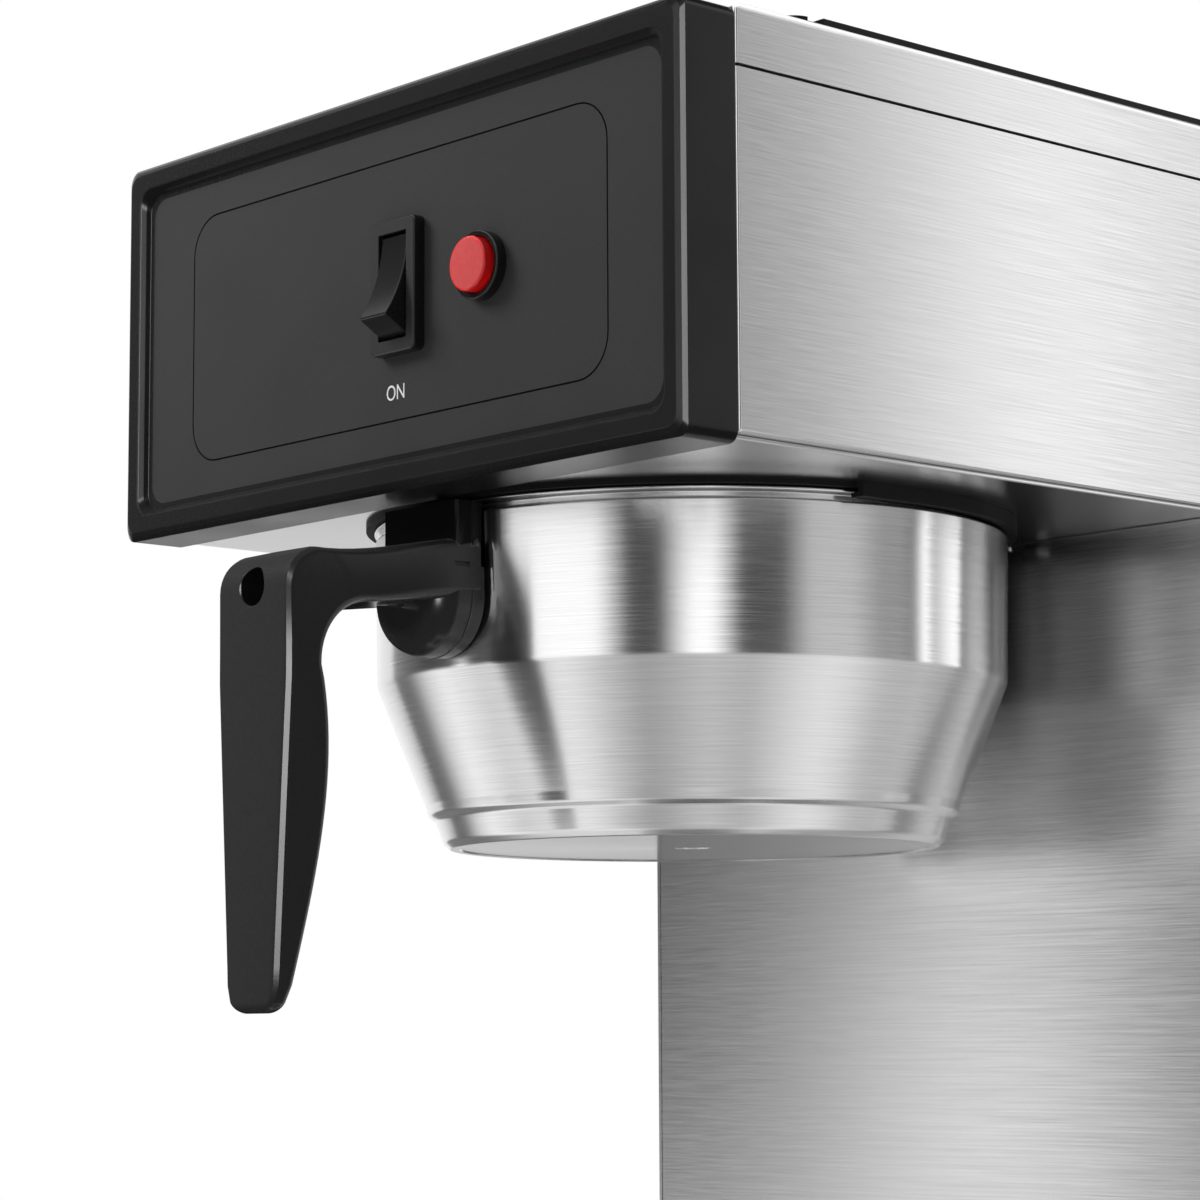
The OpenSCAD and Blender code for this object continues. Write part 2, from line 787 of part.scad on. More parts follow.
// Ring and threaded body of the pilot lamp
module lamp_ring() {
  color(black) translate([lamp_x, y_panel, z_mid]) rotate([90, 0, 0]) rotate_extrude()
    polygon([[lens_d / 2 + seat, lens_seat], [lens_d / 2 + seat, lamp_out], [lamp_d / 2 - 1, lamp_out],
             [lamp_d / 2, lamp_out - 1], [lamp_d / 2, 0], [lamp_body_d / 2, 0],
             [lamp_body_d / 2, -lamp_back], [0, -lamp_back], [0, lens_seat]]);
}

// Red lens of the pilot lamp
module lamp_lens() {
  edge = 1.6;
  color(lens_red) translate([lamp_x, y_panel, z_mid]) rotate([90, 0, 0]) rotate_extrude()
    union() {
      translate([0, lens_seat]) square([lens_d / 2, lens_out - edge - lens_seat]);
      translate([0, lens_out - edge]) square([lens_d / 2 - edge, edge]);
      translate([lens_d / 2 - edge, lens_out - edge]) intersection() {
        circle(edge);
        square(edge);
      }
    }
}

// Nut that clamps the lamp from behind
module lamp_nut() {
  nut_h = 4;
  color(inner_steel) translate([lamp_x, y_panel_rear, z_mid]) rotate([-90, 0, 0]) difference() {
    cylinder(r = lamp_body_d / 2 + 3, h = nut_h, $fn = 6);
    translate([0, 0, -over]) cylinder(r = lamp_body_d / 2 + seat, h = nut_h + 2 * over);
  }
}

// Section of the guide
module guide_section() {
  polygon([[guide_in_r, z_plate], [guide_out_r, z_plate], [guide_out_r, guide_lip_top - guide_lip_t],
           [guide_in_r, guide_lip_top - guide_lip_t], [guide_in_r, guide_lip_top],
           [guide_web_r, guide_lip_top], [guide_web_r, guide_roof], [guide_in_r, guide_roof]]);
}

// Guide that carries the funnel: a ring over its rim, and lips under the rim, open to the front
module funnel_guide() {
  color(black) difference() {
    union() {
      translate([0, y_axis, 0]) rotate_extrude() polygon([[guide_in_r, guide_roof],
        [guide_out_r, guide_roof], [guide_out_r, z_plate], [guide_in_r, z_plate]]);
      translate([0, y_axis, 0]) rotate_extrude(angle = 180) guide_section();
      for (s = [0, 1]) mirror([s, 0, 0]) translate([0, y_axis, 0]) rotate([90, 0, 0])
        linear_extrude(guide_lead) guide_section();
      for (p = guide_screw_places) difference() {
        rod_z(p.x, p.y, z_plate - guide_ear_t, guide_ear_r, guide_ear_t);
        rod_z(0, y_axis, z_plate - guide_ear_t - over, guide_web_r + 1, guide_ear_t + 2 * over);
      }
    }
    for (p = guide_screw_places)
      rod_z(p.x, p.y, z_plate - guide_ear_t - over, screw_hole_r, guide_ear_t + 2 * over);
  }
}

// Screws of the guide, up into the underside plate
module guide_screws() {
  head_h = 1.4;
  head_r = 3;
  thread = 3.6;
  color(inner_steel) for (p = guide_screw_places) {
    rod_z(p.x, p.y, z_plate - guide_ear_t - head_h, head_r, head_h);
    rod_z(p.x, p.y, z_plate - guide_ear_t - head_h / 2, screw_r, head_h / 2 + guide_ear_t + sheet + thread);
  }
}

// Section of the funnel's sheet: rim, groove, upright wall, cone, foot ring and floor
module funnel_section() {
  t = funnel_t;
  neck_r_in = funnel_r - groove_d;
  polygon([[funnel_r, z_rim], [funnel_r, z_groove], [neck_r_in, z_groove], [neck_r_in, z_wall],
           [wall_r, z_wall], [shoulder_r, z_shoulder], [cone_r, z_cone],
           [cone_r - 0.8, z_cone - 1.4], [ring_r, z_cone - 3], [ring_low_r + 0.6, z_floor + 2],
           [ring_low_r - 1.4, z_floor], [floor_r, z_floor], [floor_r - 0.5, z_floor + floor_rise],
           [drain_r, z_floor + floor_rise], [drain_r, z_floor + floor_rise + t],
           [ring_low_r - 1.2 - t, z_floor + floor_rise + t], [ring_r - t, z_cone - 3],
           [cone_r - 0.8 - t, z_cone], [shoulder_r - t, z_shoulder + 0.4],
           [wall_r - t, z_wall - t], [neck_r_in - t, z_wall - t], [neck_r_in - t, z_rim]]);
}

// Brew funnel, pressed from sheet, with the hole for the handle's screw
module brew_funnel() {
  color(steel) difference() {
    translate([0, y_axis, 0]) rotate_extrude($fn = 96) funnel_section();
    rod_y(0, y_axis - funnel_r - over, z_arm - screw_drop, handle_screw_r + seat, 2 * over + 4);
  }
}

// Wire rack on the funnel's floor that keeps the filter clear of the drain
module wire_rack() {
  z_seat = z_floor + floor_rise + funnel_t;
  z_wire = z_seat + rack_h;
  spoke_r = wire_r - 0.1;
  color(inner_steel) translate([0, y_axis, 0]) union() {
    for (r = [rack_r / 3, rack_r * 2 / 3, rack_r])
      translate([0, 0, z_wire]) rotate_extrude() translate([r - wire_r, 0]) circle(wire_r, $fn = 24);
    for (a = [0:45:135]) rotate([0, 0, a])
      rod_x(-rack_r + wire_r, 0, z_wire, spoke_r, 2 * (rack_r - wire_r));
    for (a = [0:90:270]) rotate([0, 0, a]) rod_z(rack_r * 2 / 3 - wire_r, 0, z_seat, spoke_r, rack_h);
  }
}

// Points along a circular arc, from one angle to another
function arc(c, r, from, to, steps) =
  [for (i = [0:steps]) c + r * [cos(from + (to - from) * i / steps), sin(from + (to - from) * i / steps)]];

// Points along a cubic curve
function curve(a, b, c, d, steps) =
  [for (i = [0:steps]) let (t = i / steps, u = 1 - t)
    u * u * u * a + 3 * u * u * t * b + 3 * u * t * t * c + t * t * t * d];

// Side view of the handle: arm, inner corner, grip with a belly and a slim round end.
// Depth is counted from the bezel's face and height from the arm's top.
module handle_side() {
  crown = 12;
  rise_from = handle_front + crown + 2;
  bow = 17;
  lowest = -grip_len + grip_end_r;
  thin = handle_front + 2 * grip_end_r;
  swell_out = 4.2;
  swell_drop = 27;
  waist_in = 2.3;
  waist_rise = 30;
  swell = [handle_front + grip_belly + swell_out, neck.y - swell_drop];
  waist = [handle_front + grip_belly - waist_in, lowest + waist_rise];
  inside = wall_y + pad_back;
  polygon(concat(
    arc([handle_front + crown, -crown], crown, 180, 90, 10),
    curve([rise_from, 0], [rise_from + bow, arm_rise / 12], [wall_y - bow, arm_rise * 0.8],
          [wall_y - 1, arm_rise], 8),
    [[inside, arm_rise], [inside, -arm_t]],
    arc(neck, neck_r, 90, 180, 10),
    curve(neck + [-neck_r, -1], swell, waist, [thin, lowest], 12),
    arc([thin - grip_end_r, lowest], grip_end_r, 0, -180, 8)));
}

// Front view of the handle, tapered downwards with rounded ends
module handle_front_view() {
  low_r = 7;
  straight = 4;
  taper_from = neck.y - straight;
  half = grip_w / 2;
  low = grip_low_w / 2;
  polygon(concat(
    [[half, arm_rise + 1], [half, taper_from]],
    arc([low - low_r, -grip_len + low_r], low_r, 0, -90, 6),
    arc([-low + low_r, -grip_len + low_r], low_r, 270, 180, 6),
    [[-half, taper_from], [-half, arm_rise + 1]]));
}

// Pad of the handle: half round below with a dome in front, and square above the arm up to the rim
module handle_pad() {
  dome_edge = 8;
  dome_in = 0.4;
  dome_r = pad_r - dome_in;
  deep = pad_t + pad_back;
  centre = arm_rise - pad_h + pad_r;
  upright(wall_y - pad_edge, pad_edge + pad_back) union() {
    translate([0, centre]) circle(pad_r);
    translate([-pad_r, centre]) square([2 * pad_r, pad_h - pad_r]);
  }
  upright(wall_y - lug_t, lug_t + pad_back) translate([-pad_r, 0]) square([2 * pad_r, lug_top]);
  translate([0, wall_y + pad_back, centre]) rotate([90, 0, 0]) rotate_extrude() union() {
    square([dome_r, deep - dome_edge]);
    square([dome_r - dome_edge, deep]);
    translate([dome_r - dome_edge, deep - dome_edge]) intersection() {
      circle(dome_edge);
      square(dome_edge);
    }
  }
}

// Drop handle of the funnel, with the pad that rests on the wall and the hole for its screw
module funnel_handle() {
  z_screw = -screw_drop;
  past_wall = 10;
  color(black) translate([0, y_face, z_arm]) difference() {
    union() {
      intersection() {
        sideways(-grip_w / 2, grip_w) handle_side();
        upright(handle_front - over, handle_reach + wall_y + past_wall) handle_front_view();
      }
      handle_pad();
    }
    translate([0, funnel_y, arm_rise - pad_h - over])
      cylinder(r = wall_r + seat, h = pad_h - arm_rise + lug_top + 2 * over);
    rod_y(0, handle_front - over, z_screw, access_r, access_d + over);
    rod_y(0, handle_front, z_screw, handle_screw_r + seat, handle_reach + wall_y + past_wall);
  }
}

// Screw along the arm, with its head at the bottom of the access hole
module handle_screw() {
  head_h = 3;
  y_head = y_face + handle_front + access_d - head_h;
  color(inner_steel) {
    rod_y(0, y_head, z_arm - screw_drop, access_r - 0.8, head_h);
    rod_y(0, y_head, z_arm - screw_drop, handle_screw_r, y_face + wall_y + 7 - y_head);
  }
}

// Nut of the handle's screw, inside the funnel
module handle_nut() {
  nut_h = 3.2;
  y_nut = y_face + wall_y + funnel_t + 0.9;
  color(inner_steel) translate([0, y_nut, z_arm - screw_drop]) rotate([-90, 0, 0])
    difference() {
      cylinder(r = handle_screw_r * 2, h = nut_h, $fn = 6);
      translate([0, 0, -over]) cylinder(r = handle_screw_r + seat / 2, h = nut_h + 2 * over);
    }
}

// Spray head: a rose in the underside plate, above the funnel's rim, with a neck for its tube
module spray_head() {
  rose_r = spray_r - spray_edge - seat;
  jet_r = 1.1;
  color(inner_steel) difference() {
    union() {
      rod_z(0, y_axis, z_plate + seat, rose_r, sheet - seat);
      rod_z(0, y_axis, z_hem, spray_r, spray_t);
      rod_z(0, y_axis, z_hem, neck_tube_r, z_tube - bend_r - z_hem);
    }
    rod_z(0, y_axis, z_hem, tube_r + seat, z_tube);
    for (ring = [[0.45, 6], [0.8, 12]], i = [0:ring[1] - 1]) let (a = i * 360 / ring[1])
      rod_z(ring[0] * rose_r * cos(a), y_axis + ring[0] * rose_r * sin(a),
            z_plate - over, jet_r, sheet + spray_t + 2 * over);
  }
}

// Nut round the spray head's neck
module spray_nut() {
  nut_h = 4;
  color(brass_part) translate([0, y_axis, z_hem + spray_t]) difference() {
    cylinder(r = neck_tube_r + 4, h = nut_h, $fn = 6);
    translate([0, 0, -over]) cylinder(r = neck_tube_r + seat, h = nut_h + 2 * over);
  }
}

// Frame round the pour-in opening, with ears for the lid's hinge pin
module basin_frame() {
  rest = body_top + lid_h - lid_t - slide_gap;
  spigot = 3;
  color(black) difference() {
    union() {
      pour_opening(body_top, collar_t, collar_edge);
      pour_opening(body_top, rest - body_top, 3);
      pour_opening(z_roof - spigot, sheet + spigot, -seat);
      for (x = knuckle_x, s = [-1, 1]) translate([x + s * (ear_w + slide_gap), 0, 0]) {
        box([-ear_w / 2, pour_rear + collar_edge - 4, body_top], [ear_w / 2, y_hinge, z_collar]);
        rod_x(-ear_w / 2, y_hinge, z_hinge, knuckle_r, ear_w);
        box([-ear_w / 2, y_hinge - knuckle_r, body_top], [ear_w / 2, y_hinge + knuckle_r, z_hinge]);
      }
    }
    pour_opening(z_roof - spigot - over, z_lid, -2);
    for (x = knuckle_x) rod_x(x - 2 * ear_w, y_hinge, z_hinge, lid_pin_r, 4 * ear_w);
  }
}

// Cold-water basin that hangs under the top cover
module water_basin() {
  depth = basin_rear - basin_front;
  corner_r = 12;
  color(white_part) difference() {
    union() {
      translate([0, (basin_front + basin_rear) / 2, z_basin]) linear_extrude(z_roof - z_basin)
        round_rect(basin_w, depth, corner_r);
      translate([0, (basin_front + basin_rear) / 2, z_roof - basin_t]) linear_extrude(basin_t)
        round_rect(basin_w + 2 * basin_lip, depth + 2 * basin_lip, corner_r + basin_lip);
      rod_z(valve_x, y_valve, z_tube + valve_h / 2, outlet_r + 3, z_basin - z_tube - valve_h / 2 + over);
    }
    translate([0, (basin_front + basin_rear) / 2, z_basin + basin_t]) linear_extrude(z_roof - z_basin)
      round_rect(basin_w - 2 * basin_t, depth - 2 * basin_t, corner_r - basin_t);
    rod_z(valve_x, y_valve, z_tube, outlet_r, z_basin);
  }
}

// Lid: raised field, groove and finger bar at the front, skirt all round, two hinge knuckles
module top_lid() {
  skirt_gap = 0.6;
  bar = 5.6;
  groove = 5.6;
  groove_low = 1.6;
  bar_low = 0.6;
  corner_r = 6;
  y_end = y_lid + lid_len;
  color(black) difference() {
    union() {
      translate([0, (y_lid + y_end) / 2, body_top + skirt_gap]) linear_extrude(lid_h - skirt_gap)
        round_rect(lid_w, lid_len, corner_r);
      for (x = knuckle_x) {
        rod_x(x - ear_w / 2 + slide_gap / 2, y_hinge, z_hinge, knuckle_r, ear_w - slide_gap);
        box([x - ear_w / 2 + slide_gap / 2, y_end - over, z_hinge - 1],
            [x + ear_w / 2 - slide_gap / 2, y_hinge, z_hinge + knuckle_r - 0.2]);
      }
    }
    translate([0, (y_lid + y_end) / 2, body_top - over]) linear_extrude(lid_h - lid_t + over)
      round_rect(lid_w - 2 * lid_t, lid_len - 2 * lid_t, corner_r - lid_t);
    box([-lid_w, y_lid + bar, z_lid - groove_low], [lid_w, y_lid + bar + groove, z_lid + over]);
    box([-lid_w, y_lid - over, z_lid - bar_low], [lid_w, y_lid + bar, z_lid + over]);
    for (x = knuckle_x) {
      rod_x(x - ear_w, y_hinge, z_hinge, lid_pin_r + pin_gap, 2 * ear_w);
      box([x - 1.5 * ear_w - 2 * slide_gap, y_end - lid_t - over, body_top],
          [x + 1.5 * ear_w + 2 * slide_gap, y_end + over, z_collar + slide_gap]);
    }
  }
}

// Pins of the lid's hinge
module lid_pin() {
  color(inner_steel) for (x = knuckle_x)
    rod_x(x - 1.5 * ear_w - slide_gap, y_hinge, z_hinge, lid_pin_r, 3 * ear_w + 2 * slide_gap);
}

// Body of the valve under the basin that lets the cold water down to the tank
module basin_valve() {
  color(white_part) difference() {
    union() {
      box([valve_x - valve_w / 2, y_valve - valve_d / 2, z_tube - valve_h / 2],
          [valve_x + valve_w / 2, y_valve + valve_d / 2, z_tube + valve_h / 2]);
      rod_y(valve_x, y_valve, z_tube, tube_r + 2, valve_d / 2 + 8);
    }
    rod_z(valve_x, y_valve, z_tube, outlet_r, valve_h);
    rod_y(valve_x, y_valve, z_tube, tube_r + seat, valve_d);
  }
}

// Coil of the valve
module valve_coil() {
  color(brass_part) rod_x(valve_x - valve_w / 2 - coil_len, y_valve, z_tube, coil_r, coil_len);
}

// Tube from the valve down to the foot of the tank
module fill_tube() {
  y_start = y_valve + valve_d / 2;
  above_tank_floor = 12;
  z_end = z_tank + above_tank_floor;
  color(white_part) union() {
    rod_y(valve_x, y_start, z_tube, tube_r, y_fill - bend_r - y_start);
    bend_yz(valve_x, y_fill - bend_r, z_tube - bend_r, 90);
    rod_z(valve_x, y_fill, z_end, tube_r, z_tube - bend_r - z_end);
  }
}

// Tube from the tank's lid to the spray head
module spray_tube() {
  y_end = y_axis + bend_r;
  color(white_part) union() {
    rod_z(0, y_spray_riser, z_tank_top - 6, tube_r, z_tube - bend_r - z_tank_top + 6);
    bend_yz(0, y_spray_riser - bend_r, z_tube - bend_r, 90);
    rod_y(0, y_end, z_tube, tube_r, y_spray_riser - bend_r - y_end);
    bend_yz(0, y_end, z_tube - bend_r, 180);
    rod_z(0, y_axis, z_hem + spray_t, tube_r, z_tube - bend_r - z_hem - spray_t);
  }
}

// Hot tank: an open shell with a rim
module hot_tank() {
  color(inner_steel) translate([0, y_tank, 0]) rotate_extrude($fn = 96)
    polygon([[0, z_tank], [tank_r, z_tank], [tank_r, z_gasket - sheet],
             [tank_r + tank_rim, z_gasket - sheet], [tank_r + tank_rim, z_gasket],
             [tank_r - sheet, z_gasket], [tank_r - sheet, z_tank + sheet], [0, z_tank + sheet]]);
}

// Seal between the tank and its lid
module tank_gasket() {
  color(rubber_black) difference() {
    rod_z(0, y_tank, z_gasket, tank_r + tank_rim, gasket_t);
    rod_z(0, y_tank, z_gasket - over, tank_r - sheet, gasket_t + 2 * over);
    for (p = tank_screw_places)
      rod_z(p.x, p.y, z_gasket - over, screw_hole_r, gasket_t + 2 * over);
  }
}

// Lid of the tank, with holes for the tubes, the heater and the probe
module tank_lid() {
  z_low = z_tank_top - tank_lid_t;
  color(inner_steel) difference() {
    rod_z(0, y_tank, z_low, tank_r + tank_rim, tank_lid_t);
    rod_z(0, y_spray_riser, z_low - over, tube_r + seat, tank_lid_t + 2 * over);
    rod_z(valve_x, y_fill, z_low - over, tube_r + seat, tank_lid_t + 2 * over);
    rod_z(probe_x, y_fill, z_low - over, probe_r + seat, tank_lid_t + 2 * over);
    for (s = [-1, 1]) rod_z(s * rod_half, heater_y, z_low - over, rod_r + seat, tank_lid_t + 2 * over);
    for (p = tank_screw_places)
      rod_z(p.x, p.y, z_low - over, screw_hole_r, tank_lid_t + 2 * over);
  }
}

// Screws round the tank's lid
module tank_screws() {
  shank = tank_lid_t + gasket_t;
  color(inner_steel) for (p = tank_screw_places) {
    rod_z(p.x, p.y, z_tank_top, screw_head_r, screw_head_h);
    rod_z(p.x, p.y, z_tank_top - shank, screw_r, shank + over);
  }
}

// Heating element: a loop of rod on a flange, with its two terminals
module heating_element() {
  above_floor = 34;
  z_loop = z_tank + above_floor;
  flange_t = 3;
  terminal_h = 10;
  color(brass_part) union() {
    rod_z(0, heater_y, z_tank_top, heater_flange_r, flange_t);
    for (s = [-1, 1]) {
      rod_z(s * rod_half, heater_y, z_loop, rod_r, z_tank_top - z_loop + flange_t);
      rod_z(s * rod_half, heater_y, z_tank_top, rod_r * 0.6, flange_t + terminal_h);
    }
    translate([0, heater_y, z_loop]) rotate([90, 0, 0]) rotate([0, 0, 180])
      rotate_extrude(angle = 180) translate([rod_half, 0]) circle(rod_r);
  }
}

// Probe of the thermostat, with its gland on the tank's lid
module thermostat_probe() {
  probe_len = 110;
  gland_r = 7;
  gland_h = 8;
  color(brass_part) {
    rod_z(probe_x, y_fill, z_tank_top, gland_r, gland_h);
    rod_z(probe_x, y_fill, z_tank_top - probe_len, probe_r, probe_len + over);
  }
}

// Cut-out that stops the heater if the tank boils dry
module limit_thermostat() {
  place = [tank_r / 2, y_tank + tank_r * 0.45];
  case_r = 9;
  case_h = 8;
  stem_r = 5;
  stem_h = 12;
  color(black) {
    rod_z(place.x, place.y, z_tank_top, case_r, case_h);
    rod_z(place.x, place.y, z_tank_top, stem_r, stem_h);
  }
}

// Shelf across the column that carries the tank
module tank_bracket() {
  half = x_in - seat;
  shelf_d = tank_r * 1.5;
  drop = 24;
  color(inner_steel) difference() {
    union() {
      box([-half, y_tank - shelf_d / 2, z_tank - sheet], [half, y_tank + shelf_d / 2, z_tank]);
      for (s = [-1, 1]) translate([s * (half - sheet / 2) - sheet / 2, y_tank - shelf_d / 2, z_tank - drop])
        cube([sheet, shelf_d, drop]);
    }
    rod_z(0, y_tank, z_tank - 2 * sheet, tank_r * 0.5, 3 * sheet);
  }
}

// Control board on standoffs behind the column's front sheet
module control_board() {
  color(board_green) difference() {
    translate([0, 0, z_board]) upright(y_board, board_t) square([board_w, board_h], center = true);
    for (x = [-1, 1], z = [-1, 1])
      rod_y(x * board_screw_x, y_board - over, z_board + z * board_screw_z,
            screw_hole_r, board_t + 2 * over);
  }
}

// A block on the board, given by its size and the place of its middle
module board_block(size, place, y) {
  translate([place.x - size.x / 2, y, z_board + place.y - size.z / 2]) cube(size);
}

// Relay, transformer, capacitor and plug strip on the board
module board_parts() {
  y_top = y_board + board_t;
  relay = [28, 16, 22];
  relay_at = [-board_w * 0.22, 0];
  transformer = [34, 26, 30];
  transformer_at = [board_w * 0.18, 0];
  strip = [72, 9, 8];
  strip_at = [0, board_h * 0.29];
  capacitor_r = 7;
  capacitor_h = 18;
  capacitor_at = [-board_w * 0.22, -board_h * 0.27];
  color(rubber_black) {
    board_block(relay, relay_at, y_top);
    board_block(transformer, transformer_at, y_top);
    board_block(strip, strip_at, y_top);
    rod_y(capacitor_at.x, y_top, z_board + capacitor_at.y, capacitor_r, capacitor_h);
  }
}

// Threaded standoffs that hold the board
module board_standoffs() {
  color(brass_part) for (x = [-1, 1], z = [-1, 1]) {
    rod_y(x * board_screw_x, y_column + sheet, z_board + z * board_screw_z, 3, standoff);
    rod_y(x * board_screw_x, y_column + sheet, z_board + z * board_screw_z,
          screw_r, standoff + board_t + 3);
  }
}

// Terminal block on the base, under the column
module terminal_block() {
  poles = 5;
  pitch = 9;
  block_w = 28;
  block_h = 15;
  block_x = 60;
  well_r = 2.6;
  well_floor = 6;
  color(white_part) translate([block_x, y_tank, z_base]) difference() {
    box([-block_w / 2, -poles * pitch / 2, 0], [block_w / 2, poles * pitch / 2, block_h]);
    for (i = [0:poles - 1], x = [-1, 1])
      rod_z(x * block_w / 4, (i - (poles - 1) / 2) * pitch, well_floor, well_r, block_h);
  }
}

// Power inlet: flange, body, socket and three blades
module power_inlet() {
  blade = [2, 4];
  color(black) union() {
    difference() {
      union() {
        translate([-inlet_left, 0, inlet_z]) upright(y_cover, inlet_flange_t)
          round_rect(inlet_flange_w, inlet_flange_h, 4);
        translate([-inlet_left, 0, inlet_z]) upright(y_cover - inlet_depth, inlet_depth)
          square([inlet_w, inlet_h], center = true);
      }
      translate([-inlet_left, 0, inlet_z]) upright(y_cover + inlet_flange_t - socket_d, socket_d + over)
        round_rect(socket_w, socket_h, 2);
      for (x = [-1, 1]) rod_y(-inlet_left + x * inlet_hole_x, y_cover - over, inlet_z,
                              screw_hole_r, inlet_flange_t + 2 * over);
    }
    for (p = [[-7, -2], [0, 2], [7, -2]]) translate([-inlet_left + p.x, 0, inlet_z + p.y])
      upright(y_cover + inlet_flange_t - socket_d - over, blade_len + over) square(blade, center = true);
  }
}

// Screws of the power inlet
module inlet_screws() {
  head_r = 2.8;
  head_h = 1.2;
  thread = 5;
  color(inner_steel) for (x = [-1, 1]) {
    rod_y(-inlet_left + x * inlet_hole_x, y_cover + inlet_flange_t, inlet_z, head_r, head_h);
    rod_y(-inlet_left + x * inlet_hole_x, y_cover - thread, inlet_z,
          screw_r, thread + inlet_flange_t + head_h / 2);
  }
}

// Housing of the power switch, hollow round its rocker
module power_housing() {
  hole_w = power_rocker_w + 2 * slide_gap;
  color(black) difference() {
    union() {
      translate([power_right, 0, inlet_z]) upright(y_cover, power_flange_t)
        round_rect(power_w, power_h, switch_corner_r);
      translate([power_right, 0, inlet_z]) upright(y_cover - power_back, power_back)
        square([power_w - 2, power_h - 2], center = true);
    }
    translate([power_right, 0, inlet_z]) upright(y_power, power_flange_t + 1 + over)
      square([hole_w, 2 * (power_end + slide_gap)], center = true);
    rod_x(power_right - hole_w / 2, y_power, inlet_z, power_end + slide_gap, hole_w);
    rod_x(power_right - power_w, y_power, inlet_z, power_pin_r, 2 * power_w);
  }
}

// Rocker of the power switch, with its upper end pressed in
module power_rocker() {
  color(black) translate([0, y_power, inlet_z]) sideways(power_right - power_rocker_w / 2, power_rocker_w)
    difference() {
      intersection() {
        circle(power_end);
        polygon([[-4, -power_end], [4.6, -power_end], [3.4, 0], [2.2, power_end], [-4, power_end]]);
      }
      circle(power_pin_r + pin_gap);
    }
}

// Pin of the power rocker
module power_pin() {
  color(inner_steel) rod_x(power_right - power_w / 2 + 1, y_power, inlet_z, power_pin_r, power_w - 2);
}

base_shell();
base_plate();
rubber_feet();
foot_screws();
airpot_mat();
column_front();
left_side();
right_side();
rear_cover();
rear_screws();
top_cover();
underside_plate();
front_bezel();
control_panel();
bezel_screws();
switch_housing();
start_rocker();
rocker_pin();
lamp_ring();
lamp_lens();
lamp_nut();
funnel_guide();
guide_screws();
brew_funnel();
wire_rack();
funnel_handle();
handle_screw();
handle_nut();
spray_head();
spray_nut();
basin_frame();
water_basin();
top_lid();
lid_pin();
basin_valve();
valve_coil();
fill_tube();
spray_tube();
hot_tank();
tank_gasket();
tank_lid();
tank_screws();
heating_element();
thermostat_probe();
limit_thermostat();
tank_bracket();
control_board();
board_parts();
board_standoffs();
terminal_block();
power_inlet();
inlet_screws();
power_housing();
power_rocker();
power_pin();
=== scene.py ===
"""Airpot coffee brewer: finishes and modelled shells around its fixed frame of solids."""
import json
import math

import bmesh
import bpy
from mathutils import Matrix, Vector


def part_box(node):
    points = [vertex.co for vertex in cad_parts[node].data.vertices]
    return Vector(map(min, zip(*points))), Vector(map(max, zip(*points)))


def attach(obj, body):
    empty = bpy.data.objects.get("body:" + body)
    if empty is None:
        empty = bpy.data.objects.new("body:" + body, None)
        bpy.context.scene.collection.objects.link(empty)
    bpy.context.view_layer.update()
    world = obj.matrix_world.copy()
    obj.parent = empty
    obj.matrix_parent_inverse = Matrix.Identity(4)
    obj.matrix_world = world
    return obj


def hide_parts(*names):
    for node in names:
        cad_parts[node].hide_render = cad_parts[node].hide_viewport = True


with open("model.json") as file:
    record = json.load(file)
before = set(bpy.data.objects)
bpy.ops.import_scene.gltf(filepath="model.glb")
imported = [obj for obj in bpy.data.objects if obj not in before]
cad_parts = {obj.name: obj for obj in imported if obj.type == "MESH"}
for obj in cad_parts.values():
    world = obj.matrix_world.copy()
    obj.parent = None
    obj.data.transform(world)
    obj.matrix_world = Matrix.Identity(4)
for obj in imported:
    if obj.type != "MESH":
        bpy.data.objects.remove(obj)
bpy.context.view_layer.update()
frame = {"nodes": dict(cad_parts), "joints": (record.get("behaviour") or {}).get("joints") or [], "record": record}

MM = 0.001
ARC_STEP = math.radians(9)
CORNER_SHARE = 0.49
NEAR = 0.1
FACING = 0.95
SLOT_OF = {part["node"]: part["material_slot"] for part in frame["record"]["subparts"]}
JOINT = {joint["name"]: joint for joint in frame["joints"]}


def node_box(name):
    """Lowest and highest corner of a node, in millimetres."""
    low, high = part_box(name)
    return low / MM, high / MM


# Places taken from the frame, in millimetres
bezel_low, bezel_high = node_box("front_bezel")
panel_low, panel_high = node_box("control_panel")
switch_low, switch_high = node_box("switch_housing")
rocker_low, rocker_high = node_box("start_rocker")
ring_low, ring_high = node_box("lamp_ring")
lens_low, lens_high = node_box("lamp_lens")
funnel_low, funnel_high = node_box("brew_funnel")
handle_low = node_box("funnel_handle")[0]
side_low, side_high = node_box("right_side")
cover_low, cover_high = node_box("top_cover")
lid_low = node_box("top_lid")[0]

bezel_w = bezel_high.x - bezel_low.x
bezel_h = bezel_high.z - bezel_low.z
bezel_d = bezel_high.y - bezel_low.y
z_mid = (bezel_high.z + bezel_low.z) / 2
y_face = bezel_low.y
y_bezel = bezel_high.y
y_panel = panel_low.y
switch_x = (switch_low.x + switch_high.x) / 2
switch_w = switch_high.x - switch_low.x
switch_h = switch_high.z - switch_low.z
lamp_x = (ring_low.x + ring_high.x) / 2
lamp_r = (ring_high.x - ring_low.x) / 2
lens_r = (lens_high.x - lens_low.x) / 2
y_axis = (funnel_low.y + funnel_high.y) / 2
rim_r = (funnel_high.x - funnel_low.x) / 2
rim_lip = 0.2
wall_r = rim_r - rim_lip
z_rim = funnel_high.z
z_floor = funnel_low.z

